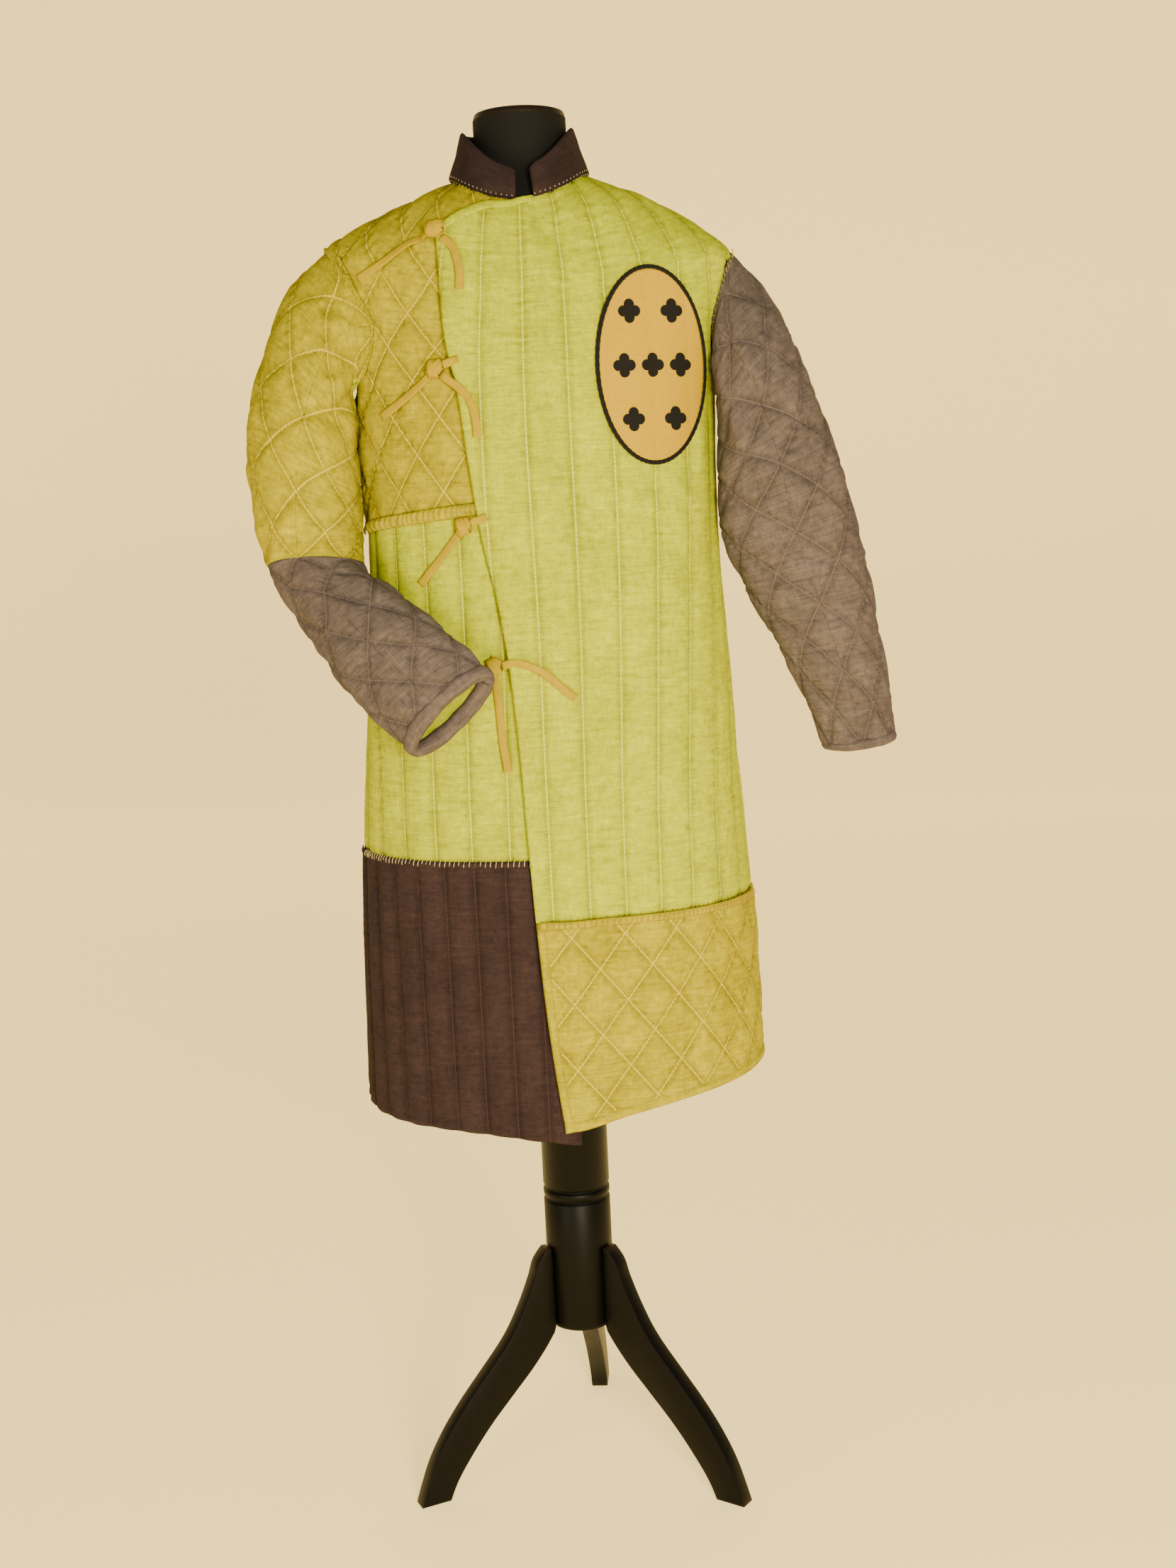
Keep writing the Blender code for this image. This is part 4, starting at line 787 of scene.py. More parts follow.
def chest_shape(u, v):
    """Gold quilted chest piece of the right front, up to the shoulder."""
    share = 1.0 - u
    side, middle, turned = arm_path(v, CHEST_SEAM_SIDE + 0.5 * SEAM_GAP, 0.34, 0.72)
    level = middle * (1 - share**1.5) + side * share**1.5
    start = turn_of_x(underlap_x(level), level)
    turn = even_arc(share, start, -0.5 * math.pi) + bend(side_turn(turned, "right_front"), share)
    low = np.clip((ARM_LOW - level) / (ARM_LOW - CHEST_SEAM_SIDE), 0, 1)
    level = level + low * (chest_seam(turn) - CHEST_SEAM_SIDE)
    arc = arc_of(turn, level)
    place = shell(turn, level, np.zeros_like(level))
    one, two = diamonds(arc, level, 0.063, 0.085, 0.10, 0.45)
    relief, spacing = diamond_relief(one, two, 0.063, 0.085, place, seed=31)
    bottom = chest_seam(turn)
    relief -= SEAM_DIP * np.exp(-(level - bottom) / 0.003)
    relief += 0.0008 * soft_noise(place, (0.05, 0.05, 0.08), 41) - 0.0005
    relief += facing_creases(place, CHEST_CREASES)
    aside = share**5 * (0.005 + 0.007 * ease((level - 1.24) / 0.08)) * (1.0 - ease((level - 1.34) / 0.03))
    points = shell(turn, level, np.clip(relief, -0.0060, 0.0014) + aside)
    return points, np.stack([one, two], axis=-1), np.stack([arc, level], axis=-1)


CHEST_CREASES = (
    (508, 330, 520, 410, 8, 0.0012), (520, 560, 560, 640, 10, -0.0012),
)


def channel_panel(bottom_level, top_of, spacing, shift, seed, hem, rows=(), stand_out=0.0):
    """Shape function of a channel-quilted piece of the right front."""
    def shape(u, v):
        start = -0.5 * math.pi + 0.5 * SEAM_GAP / 0.15
        rough = bottom_level + (CHEST_SEAM_SIDE - bottom_level) * v if top_of is None else (
            bottom_level + (top_of - bottom_level) * v)
        turn = even_arc(u, start, turn_of_x(underlap_x(rough), rough))
        top = (chest_seam(turn) - 0.5 * SEAM_GAP) if top_of is None else top_of
        low = hem_level(RIGHT_HEM, turn) if hem else bottom_level
        level = low + (top - low) * v
        arc = arc_of(turn, level)
        count = arc / spacing + shift
        distance = np.abs(count - np.round(count)) * spacing
        place = shell(turn, level, np.zeros_like(level))
        relief = groove(distance, 0.5 * spacing, 0.0050)
        relief -= SEAM_DIP * np.exp(-(top - level) / 0.003)
        if hem:
            relief += edge_softening(level - low) + groove(np.abs(level - low - 0.012), 0.01, 0.0014)
        else:
            relief -= SEAM_DIP * np.exp(-(level - bottom_level) / 0.003)
        relief += 0.0008 * soft_noise(place, (0.05, 0.05, 0.10), seed) - 0.0005
        relief += puckers(distance, level, place, 0.0007, seed + 2)
        relief += 0.0004 * soft_noise(place, (0.014, 0.014, 0.024), seed + 3)
        relief += facing_creases(place, rows)
        points = shell(turn, level, np.clip(relief, -0.0056, 0.0014) + stand_out)
        return points, np.stack([count, level / spacing], axis=-1), np.stack([arc, level], axis=-1)
    return shape


def back_shape(u, v):
    """Lime back from side seam to side seam, in long channels from the neck to the hem."""
    from_middle = np.abs(2.0 * u - 1.0)
    side, middle, turned = arm_path(v, HEM_LEVEL, 0.72, 0.90)
    level = middle * (1 - from_middle**1.5) + side * from_middle**1.5
    swing = bend(side_turn(turned, "back"), from_middle) * np.sign(1.0 - 2.0 * u)
    turn = even_arc(u, 0.5 * math.pi, 1.5 * math.pi) + swing
    low = np.clip((ARM_LOW - level) / (ARM_LOW - HEM_LEVEL), 0, 1)
    level = level + low * (hem_level(BACK_HEM, turn) - HEM_LEVEL)
    from_hem = level - hem_level(BACK_HEM, turn)
    arc = arc_of(turn, level)
    width = smooth_column(CHANNEL_ROWS, CHANNEL_COLUMNS, "width", level)
    half_turn = arc_of(np.full_like(level, math.pi), level)
    count = (arc - half_turn) / width + 0.5
    distance = np.abs(count - np.round(count)) * width
    place = shell(turn, level, np.zeros_like(level))
    relief = groove(distance, 0.5 * width, 0.0042)
    relief += edge_softening(from_hem) + groove(np.abs(from_hem - 0.012), 0.01, 0.0014)
    relief += 0.0010 * soft_noise(place, (0.06, 0.06, 0.11), 51) - 0.0007
    relief += puckers(distance, level, place, 0.0007, 53)
    relief += creases(place[..., [0, 2]], BACK_CREASES)
    points = shell(turn, level, np.clip(relief, -0.0056, 0.0014))
    return points, np.stack([count, level / 0.046], axis=-1), np.stack([arc, level], axis=-1)


# Folds of the back in metres sideways and up, like those that the front shows
BACK_CREASES = (
    (-0.185, 1.42, -0.120, 1.33, 0.012, 0.0018), (0.190, 1.43, 0.125, 1.34, 0.012, 0.0018),
    (-0.060, 1.10, -0.040, 0.94, 0.014, -0.0012), (0.090, 1.14, 0.075, 0.97, 0.014, -0.0012),
    (0.020, 0.86, 0.035, 0.70, 0.016, 0.0010),
)


# ---- Sleeves

def armhole_loop(swing, side):
    """Points round an armhole's edge on the body's outside and the way into the body."""
    front = ARM_TURN["left_front" if side > 0 else "right_front"]
    turn = side * (0.5 * math.pi - np.where(np.cos(swing) > 0, front, ARM_TURN["back"]) * np.cos(swing))
    level = 0.5 * (ARM_LOW + ARM_TOP) + 0.5 * (ARM_TOP - ARM_LOW) * np.sin(swing)
    normal = body_normal(turn, level)
    outer = body(turn, level) - normal * SEAM_DIP
    centre = np.array([side * 0.222, 0.0, 0.5 * (ARM_LOW + ARM_TOP)])
    return outer + unit(centre - outer) * 2.0 * SEAM_GAP


def sleeve_ring(rows, along, swing, lean):
    """Points of a sleeve's form and their outward directions; its mouth leans by lean."""
    step = 1e-3
    read = {name: smooth_column(rows, SLEEVE_COLUMNS, name, along) for name in SLEEVE_COLUMNS[1:]}

    def middle_at(a):
        return np.stack([0.5 * (smooth_column(rows, SLEEVE_COLUMNS, "outer_" + k, a)
                                + smooth_column(rows, SLEEVE_COLUMNS, "inner_" + k, a)) for k in "xyz"], axis=-1)

    outer = np.stack([read["outer_x"], read["outer_y"], read["outer_z"]], axis=-1)
    under = np.stack([read["inner_x"], read["inner_y"], read["inner_z"]], axis=-1)
    middle, across = 0.5 * (outer + under), 0.5 * (outer - under)
    inside = np.clip(along, step, 1.0 - step)
    path = unit(middle_at(inside + step) - middle_at(inside - step))
    ahead = unit(np.cross(across, path))
    ahead = ahead * np.where(ahead[..., 1:2] > 0, -1.0, 1.0)
    cos, sin = np.cos(swing)[..., None], np.sin(swing)[..., None]
    half = np.linalg.norm(across, axis=-1, keepdims=True)
    depth = np.where(cos > 0, read["ahead"][..., None], read["behind"][..., None])
    outward = unit(unit(across) * sin / half + ahead * cos / depth)
    spread = across * sin + ahead * depth * cos
    return middle + spread - path * (lean * ease((along - 0.8) / 0.2))[..., None] * cos, outward


def sleeve_shape(rows, side, steps, span, quilt_down, quilt_round, shift, seed, crease_rows, hidden_rows):
    """Shape function of a length of sleeve, quilted in diamonds, with its folds."""
    def shape(u, v):
        along = span[0] + (span[1] - span[0]) * v
        swing = 2.0 * math.pi * u
        form, outward = sleeve_ring(rows, along, swing, MOUTH_LEAN[side])
        loop = armhole_loop(swing, side)
        hang = np.clip((-np.sin(swing) - 0.35) / 0.65, 0, 1)[..., None]
        loop = loop + hang * np.array([side * ARMPIT_DROP, 0.0, -0.004])
        keep = (1.0 - ease(along * steps / 3.0))[..., None]
        place = form * (1 - keep) + loop * keep
        one = u * quilt_round + along * quilt_down + shift
        two = u * quilt_round - along * quilt_down + shift
        girth, length = 0.40, 0.62
        relief, spacing = diamond_relief(one, two, girth / quilt_round, length / quilt_down, place, 0.0050, seed)
        ends = np.minimum(along - span[0], span[1] - along) * length
        relief = np.where(ends < 0.008, relief * ends / 0.008 - SEAM_DIP * (1 - ends / 0.008), relief)
        relief += 0.0020 * soft_noise(place, 0.05, seed + 7) - 0.0008
        relief += 0.0008 * soft_noise(place, 0.016, seed + 8)
        gathered = ease(0.5 + soft_noise(place, 0.07, seed + 10))
        relief += 0.0014 * soft_noise(place, (0.045, 0.045, 0.012), seed + 9) * gathered
        facing = ease((-outward[..., 1] + 0.15) / 0.5)
        relief += 1.7 * creases(photo_place(place), crease_rows) * facing
        relief += 1.7 * creases(place[..., [0, 2]], hidden_rows) * (1.0 - facing)
        height = np.clip(relief, -0.0095, 0.0040) * (1.0 - keep[..., 0])
        points = place + outward * height[..., None]
        thread = np.stack([u * girth, along * length], axis=-1)
        return points, np.stack([one, two], axis=-1), thread
    return shape


LEFT_SLEEVE_CREASES = (
    (1035, 470, 1090, 560, 12, 0.0026), (1040, 560, 1120, 640, 13, -0.0024), (1050, 640, 1150, 700, 14, 0.0022),
    (1010, 520, 1050, 640, 10, 0.0024), (1080, 740, 1180, 800, 12, -0.0020), (1100, 820, 1200, 860, 11, 0.0020),
    (1130, 900, 1220, 930, 11, -0.0020), (1150, 960, 1235, 985, 10, 0.0018), (1060, 430, 1110, 450, 12, 0.0020),
)
LEFT_SLEEVE_HIDDEN = (
    (0.240, 1.43, 0.300, 1.36, 0.012, 0.0024), (0.250, 1.33, 0.330, 1.27, 0.012, -0.0022),
    (0.260, 1.20, 0.350, 1.15, 0.012, 0.0022), (0.300, 1.06, 0.380, 1.03, 0.010, -0.0018),
)
UPPER_SLEEVE_CREASES = (
    (430, 470, 520, 520, 12, 0.0028), (400, 560, 490, 600, 13, -0.0026), (395, 640, 480, 640, 12, 0.0024),
    (410, 700, 500, 690, 12, -0.0024), (430, 760, 505, 730, 11, 0.0022), (470, 400, 525, 480, 12, -0.0024),
    (385, 760, 430, 700, 12, 0.0018), (535, 478, 440, 452, 13, 0.0040), (538, 500, 455, 498, 10, -0.0042),
    (532, 516, 458, 548, 12, 0.0040), (528, 534, 470, 590, 10, -0.0034), (520, 560, 480, 640, 12, 0.0030),
)
RIGHT_SLEEVE_HIDDEN = (
    (-0.240, 1.43, -0.310, 1.37, 0.012, 0.0024), (-0.250, 1.32, -0.330, 1.28, 0.012, -0.0022),
    (-0.240, 1.23, -0.330, 1.22, 0.012, 0.0024), (-0.200, 1.08, -0.140, 1.04, 0.010, 0.0018),
)
LOWER_SLEEVE_CREASES = (
    (450, 800, 520, 860, 10, -0.0022), (480, 790, 560, 850, 9, 0.0020), (520, 900, 560, 960, 9, -0.0020),
    (570, 880, 620, 930, 9, 0.0018), (545, 985, 590, 1010, 8, 0.0016), (430, 850, 480, 920, 9, 0.0018),
)


# ---- Collar

def collar_shape(u, v):
    """Felt band that stands round the neck, its lower edge laid over the neckline."""
    turn = COLLAR_OPENS_LEFT + (2.0 * math.pi + COLLAR_OPENS_RIGHT - COLLAR_OPENS_LEFT) * u
    up = np.clip(v, 0.25, 1.0)
    read = {name: smooth_column(COLLAR_RINGS, COLLAR_COLUMNS, name, up) for name in COLLAR_COLUMNS[1:]}
    ahead, aside = np.cos(turn), np.sin(turn)
    depth = np.where(ahead > 0, read["front"], read["back"])
    end_z = np.where(ahead > 0, read["front_z"], read["back_z"])
    x = COLLAR_SHIFT + read["half"] * aside
    z = read["side_z"] + (end_z - read["side_z"]) * ahead**2
    ring = np.stack([x, -depth * ahead, z], axis=-1)
    laid_level = np.full_like(turn, COLLAR_LAID_LEVEL)
    laid = body(turn, laid_level) + body_normal(turn, laid_level) * (COLLAR_LIFT + FELT)
    share = np.clip(v / 0.25, 0, 1)[..., None]
    place = laid * (1 - share) + ring * share
    outward = unit(np.stack([aside, -ahead, 0.35 + 0 * turn], axis=-1))
    tall, wide = 0.062, 0.52
    ends = np.minimum(u, 1 - u) * wide
    relief = 0.0009 * soft_noise(place, 0.028, 61) + 0.0005 * soft_noise(place, 0.012, 62) - 0.0006
    relief += edge_softening(np.minimum(np.minimum(v, 1 - v) * tall, ends), 0.004, 0.0018)
    points = place + outward * relief[..., None]
    corner = ease(1.0 - ends / 0.010)
    points[..., 2] -= 0.004 * corner * ease((v - 0.6) / 0.4)
    return points, np.stack([u, v], axis=-1), np.stack([u * wide, v * tall], axis=-1)


# ---- Ribbon ties

def lift_over_front(x, z, lift):
    """Points over whichever front is on top, climbing the overlap's edge in a soft step."""
    turn, level = at_front(x, z)
    onto = ease((x - edge_x(level) + CLIMB_START) / CLIMB_LENGTH)
    normal = body_normal(turn, level)
    return body(turn, level) + normal * (overlap_rise(turn, level) * onto + lift)[..., None], normal


def smooth_route(points, steps):
    """A smooth curve through a short list of places, read at even steps."""
    points = np.array(points, float)
    table = np.concatenate([np.linspace(0, 1, len(points))[:, None], points], axis=1)
    at = np.linspace(0, 1, steps + 1)
    return np.stack([smooth_column(table, ("t", "x", "z"), name, at) for name in ("x", "z")], axis=-1)


def ribbon_piece(name, middle, normals, width, thick, twist=None):
    """A flat woven tape along points, with softly rounded faces."""
    along = unit(np.gradient(middle, axis=0))
    across = unit(np.cross(normals, along))
    if twist is not None:
        across = across * np.cos(twist)[:, None] + normals * np.sin(twist)[:, None]
    upper = unit(np.cross(along, across))
    length = np.concatenate([[0.0], np.cumsum(np.linalg.norm(np.diff(middle, axis=0), axis=1))])
    rows = len(middle) - 1

    def shape(u, v):
        at = v * rows
        low = np.clip(at.astype(int), 0, rows - 1)
        part = (at - low)[:, None]
        read = lambda table: table[low] * (1 - part) + table[low + 1] * part
        side = (u - 0.5) * 2.0
        crown = thick * (0.5 - 0.35 * side**4)
        points = read(middle) + read(across) * (side * 0.5 * width)[:, None] + read(upper) * crown[:, None]
        far = np.interp(at, np.arange(rows + 1), length)
        flat = np.stack([side * 0.5 * width, far], axis=-1)
        return points, flat * 1000.0, flat

    piece = grid_piece(name, 6, rows, shape)
    flip_outwards(piece, lambda p: normals[len(normals) // 2])
    return thicken(piece, thick, lined=False)


def tie_tails():
    """The free ribbon ends: each route with the lift that its solid has, and its normals."""
    found = []
    for row in TIES:
        start = np.array(row["knot"])
        routes = [("stub", (row["stub"],), 10)] if row["stub"] else []
        routes += [("tail_" + "ab"[k], tail, 36) for k, tail in enumerate(row["tails"])]
        for part, points, steps in routes:
            toward = np.array(points[0]) - start
            reach = 1.0 / np.linalg.norm(toward / np.array([KNOT_HALF[0], KNOT_HALF[2]]))
            crosses = points[-1][0] > edge_x(points[-1][1])
            first = start + toward * reach * (TAIL_OVER if crosses else TAIL_UNDER)
            route = smooth_route([first, *points], steps)
            lift = np.full(len(route), SEAM_GAP + 0.5 * RIBBON_THICK + 0.0002)
            middle, normals = lift_over_front(route[:, 0], route[:, 1], lift)
            found.append((row["name"] + "_" + part, middle, normals))
    return found


def knot_centre(row):
    """Middle of a knot and the directions out of the cloth, sideways and up."""
    turn, level = at_front(np.array([row["knot"][0]]), np.array([row["knot"][1]]))
    rise = overlap_rise(turn, level)[0] if row["on_overlap"] else 0.0
    normal = body_normal(turn, level)[0]
    centre = body(turn, level)[0] + normal * (rise + KNOT_HALF[1] + SEAM_GAP)
    aside = unit(np.cross(np.array([0.0, 0.0, 1.0]), normal))
    return centre, normal, aside, np.cross(normal, aside)


def wrap_piece(name, centre, out, aside, up, radii, tilt, lean, width, turns=1.0):
    """One pass of a ribbon round a knot, as a band on a tilted oval."""
    steps = 40
    angle = np.linspace(0, 2.0 * math.pi * turns, steps + 1)
    axis_a = aside * math.cos(tilt) + up * math.sin(tilt)
    axis_b = up * math.cos(tilt) - aside * math.sin(tilt)
    ring = (np.cos(angle)[:, None] * axis_a * radii[0] + np.sin(angle)[:, None] * out * radii[1])
    spread = np.sin(angle * 0.5 + lean)[:, None] * axis_b * radii[2]
    middle = centre + ring + spread
    normals = unit(np.cos(angle)[:, None] * axis_a / radii[0] + np.sin(angle)[:, None] * out / radii[1])
    return ribbon_piece(name, middle, normals, width, 0.0016)


# ---- Settings shown in the sidebar

class CoatSettings(bpy.types.PropertyGroup):
    """Sizes and colours of the coat's cloths."""
    grid_mm: FloatProperty(name="Cloth grid", description="Spacing of the cloth's points in millimetres",
                           default=3.2, min=2.0, max=10.0)
    cloth: FloatProperty(name="Quilt thickness", description="Thickness of a quilted piece at its middle",
                         default=0.0058, min=0.002, max=0.01, unit="LENGTH")
    lime: FloatVectorProperty(name="Lime wool", description="Colour of the lime fronts and back",
                              subtype="COLOR", size=3, min=0, max=1, default=linear("#A6B000"))
    gold: FloatVectorProperty(name="Gold wool", description="Colour of the gold quilted pieces",
                              subtype="COLOR", size=3, min=0, max=1, default=linear("#9C9400"))
    taupe: FloatVectorProperty(name="Taupe linen", description="Colour of the linen sleeves",
                               subtype="COLOR", size=3, min=0, max=1, default=linear("#584F4F"))
    brown: FloatVectorProperty(name="Brown wool", description="Colour of the brown hem and collar",
                               subtype="COLOR", size=3, min=0, max=1, default=linear("#312527"))


class TrimSettings(bpy.types.PropertyGroup):
    """Sizes and colours of the ties, threads and patch."""
    ribbon: FloatVectorProperty(name="Ribbon", description="Colour of the tape ties",
                                subtype="COLOR", size=3, min=0, max=1, default=linear("#A89200"))
    patch: FloatVectorProperty(name="Patch", description="Colour of the oval patch",
                               subtype="COLOR", size=3, min=0, max=1, default=linear("#B99600"))
    thread: FloatVectorProperty(name="Hand stitches", description="Colour of the sewing thread that shows",
                                subtype="COLOR", size=3, min=0, max=1, default=linear("#D8C88A"))


class StandSettings(bpy.types.PropertyGroup):
    """Finish of the dress form and its stand."""
    segments: IntProperty(name="Segments", description="Steps round the turned parts", default=96, min=16, max=256)
    paint: FloatVectorProperty(name="Paint", description="Colour of the painted wood",
                               subtype="COLOR", size=3, min=0, max=1, default=linear("#030304"))
    jersey: FloatVectorProperty(name="Jersey", description="Colour of the form's cover",
                                subtype="COLOR", size=3, min=0, max=1, default=linear("#111111"))


class StageSettings(bpy.types.PropertyGroup):
    """Floor and light round the object."""
    floor: FloatVectorProperty(name="Floor", description="Colour of the floor and the wall behind",
                               subtype="COLOR", size=3, min=0, max=1, default=linear("#FFE798"))
    floor_glow: FloatProperty(name="Floor glow", description="How strongly the paper sweep is lit from behind",
                              default=1.08, min=0.0, max=3.0)
    key_power: FloatProperty(name="Key light", description="Power of the main light in watts",
                             default=150.0, min=0.0, max=1000.0)


# ---- Operators

class GAMBESON_OT_camera(bpy.types.Operator):
    """Sets the camera at the photograph's place and angle"""
    bl_idname = "gambeson.camera"
    bl_label = "Place camera"

    def execute(self, context):
        ahead = Vector((0.0, math.cos(CAMERA_PITCH), -math.sin(CAMERA_PITCH)))
        right = Vector((1.0, 0.0, 0.0))
        up = right.cross(ahead)
        cos, sin = math.cos(CAMERA_ROLL), math.sin(CAMERA_ROLL)
        turned_right, turned_up = right * cos - up * sin, right * sin + up * cos
        data = bpy.data.cameras.new("photo_camera")
        data.sensor_fit = "VERTICAL"
        data.sensor_height = 36.0
        data.lens = PHOTO_FOCAL / PHOTO_SIZE[1] * 36.0
        data.clip_end = 50.0
        camera = bpy.data.objects.new("photo_camera", data)
        context.scene.collection.objects.link(camera)
        rows = Matrix((turned_right, turned_up, -ahead)).transposed().to_4x4()
        camera.matrix_world = Matrix.Translation(Vector(CAMERA_AT + AXIS)) @ rows
        context.scene.camera = camera
        return {"FINISHED"}


def ribbon_material(color):
    """Cotton twill tape: fine diagonal ribs, a slight shine on its raised threads."""
    made, tree, shader, _ = start_material("cotton_twill_tape")
    flat = add(tree, "ShaderNodeUVMap", {"uv_map": "thread"})
    turned = add(tree, "ShaderNodeMapping", {"Rotation": (0.0, 0.0, math.radians(45.0))},
                 {"Vector": flat.outputs["UV"]})
    # Twill ribs of 0.5 mm drawn 1.2 mm wide so that they show
    ribs_per_metre = 830.0
    ribs = add(tree, "ShaderNodeTexWave",
               {"Scale": ribs_per_metre / (2.0 * math.pi), "Distortion": 0.6, "Detail": 1.0},
               {"Vector": turned.outputs[0]})
    place = add(tree, "ShaderNodeTexCoord")
    mottle = add(tree, "ShaderNodeTexNoise", {"Scale": 160.0, "Detail": 3.0}, {"Vector": place.outputs["Object"]})
    shade = add(tree, "ShaderNodeMapRange", {"To Min": 0.80, "To Max": 1.14}, {"Value": mottle.outputs["Fac"]})
    tinted = add(tree, "ShaderNodeVectorMath", {"operation": "SCALE", 0: tuple(color)[:3]}, {"Scale": shade.outputs[0]})
    bump = add(tree, "ShaderNodeBump", {"Strength": 0.5, "Distance": 0.0004}, {"Height": ribs.outputs["Fac"]})
    tree.links.new(tinted.outputs[0], shader.inputs["Base Color"])
    tree.links.new(bump.outputs[0], shader.inputs["Normal"])
    shader.inputs["Roughness"].default_value = 0.72
    shader.inputs["Sheen Weight"].default_value = 0.0
    shader.inputs["Specular IOR Level"].default_value = 0.1
    return made


class GAMBESON_OT_ties(bpy.types.Operator):
    """Makes the ribbon ties with their knots, stubs and free ends"""
    bl_idname = "gambeson.ties"
    bl_label = "Ribbon ties"

    def execute(self, context):
        tape = ribbon_material(context.scene.gambeson_trim.ribbon)
        for name, middle, normals in tie_tails():
            wave = 0.22 * np.sin(np.linspace(0.3, 4.2, len(middle)))
            piece = ribbon_piece(name + "_tape", middle, normals, RIBBON_WIDTH, RIBBON_THICK, wave)
            dress(piece, [tape], (name,))
            if name.endswith("stub"):
                continue
        for k, row in enumerate(TIES):
            centre, out, aside, up = knot_centre(row)
            lean = 0.5 + 0.9 * k
            passes = (("wrap", (0.0078, 0.0050, 0.0020), 1.25 + 0.25 * k, lean, 0.0105),
                      ("cross", (0.0092, 0.0046, 0.0026), 0.25 + 0.3 * k, lean + 1.0, 0.0092),
                      ("core", (0.0060, 0.0040, 0.0010), 2.2 + 0.2 * k, lean + 2.0, 0.0120))
            for label, radii, tilt, spread, width in passes:
                piece = wrap_piece(row["name"] + "_" + label, centre, out, aside, up, radii, tilt, spread, width)
                dress(piece, [tape], (row["name"] + "_knot",) if label == "wrap" else ())
        return {"FINISHED"}


def panel_piece(context, name, width, height, shape, materials, replaces, coarse=1.0):
    """A quilted piece of the coat as a closed shell; its cut size sets the spacing of its grid."""
    settings = context.scene.gambeson_coat
    step = settings.grid_mm * 0.001 * coarse
    piece = grid_piece(name, int(width / step), int(height / step), shape)
    thicken(piece, settings.cloth)
    dress(piece, [MATERIALS[m] for m in materials], replaces)
    return piece


class GAMBESON_OT_fronts(bpy.types.Operator):
    """Makes both fronts: lime and gold over lime, gold and brown"""
    bl_idname = "gambeson.fronts"
    bl_label = "Fronts"

    def execute(self, context):
        panel_piece(context, "left_front_cloth", 0.47, 0.92, left_front_shape, ("lime_wool_flannel", "lime_lining"),
                    ("left_front",))
        panel_piece(context, "left_hem_cloth", 0.43, 0.26, left_hem_shape, ("gold_wool_flannel", "lime_lining"),
                    ("left_front_hem",))
        panel_piece(context, "right_chest_cloth", 0.36, 0.42, chest_shape, ("gold_wool_flannel", "lime_lining"),
                    ("right_front_chest",))
        panel_piece(context, "right_middle_cloth", 0.37, 0.42, channel_panel(
            BROWN_SEAM + 0.5 * SEAM_GAP, None, 0.0455, 0.12, 71, False), ("lime_wool_flannel", "lime_lining"),
                    ("right_front_middle",))
        panel_piece(context, "right_hem_cloth", 0.40, 0.33, channel_panel(
            HEM_LEVEL, BROWN_SEAM - 0.5 * SEAM_GAP, 0.0370, 0.55, 81, True, stand_out=0.0022),
                    ("brown_fulled_wool", "lime_lining"),
                    ("right_front_hem",))
        return {"FINISHED"}


def band_shape(x_from, x_to, low_of, high_of, out, bulge, pleat, seed, over=False):
    """Shape function of a narrow folded band along a seam or an edge of the fronts.

    low_of and high_of give its edges' levels by sideways place; over lays it on the overlapping front.
    """
    def shape(u, v):
        x = x_from + (x_to - x_from) * u
        low, high = low_of(x), high_of(x)
        level = low + (high - low) * v
        turn = turn_of_x(x, level)
        place = shell(turn, level, np.zeros_like(level))
        rise = overlap_rise(turn, level) if over else 0.0
        round_off = np.sin(math.pi * np.clip(v, 0, 1)) ** 0.6
        ends = np.minimum(u, 1 - u) * abs(x_to - x_from)
        folds = np.sin(2.0 * math.pi * (x / 0.0064 + 0.5 * soft_noise(place, 0.02, seed)))
        height = out + bulge * round_off * (1.0 + 0.25 * soft_noise(place, 0.012, seed + 1))
        height = height + pleat * folds * round_off
        height = height * ease(ends / 0.004 + 0.25)
        points = shell(turn, level, rise + height)
        arc = arc_of(turn, level)
        return points, np.stack([0.5 + 0 * u, 0.5 + 0 * v], axis=-1), np.stack([arc, level], axis=-1)
    return shape


def seam_band(name, columns, rows, shape, cloth):
    """A narrow band of doubled cloth."""
    piece = grid_piece(name, columns, rows, shape)
    flip_outwards(piece, lambda p: p - np.array([AXIS[0], AXIS[1], p[2]]))
    thicken(piece, 0.0016, lined=False)
    return dress(piece, [MATERIALS[cloth]], ())


def neck_top(x):
    return NECK_LEVEL - smooth_column(DROP_ROWS, DROP_COLUMNS, "drop", x)


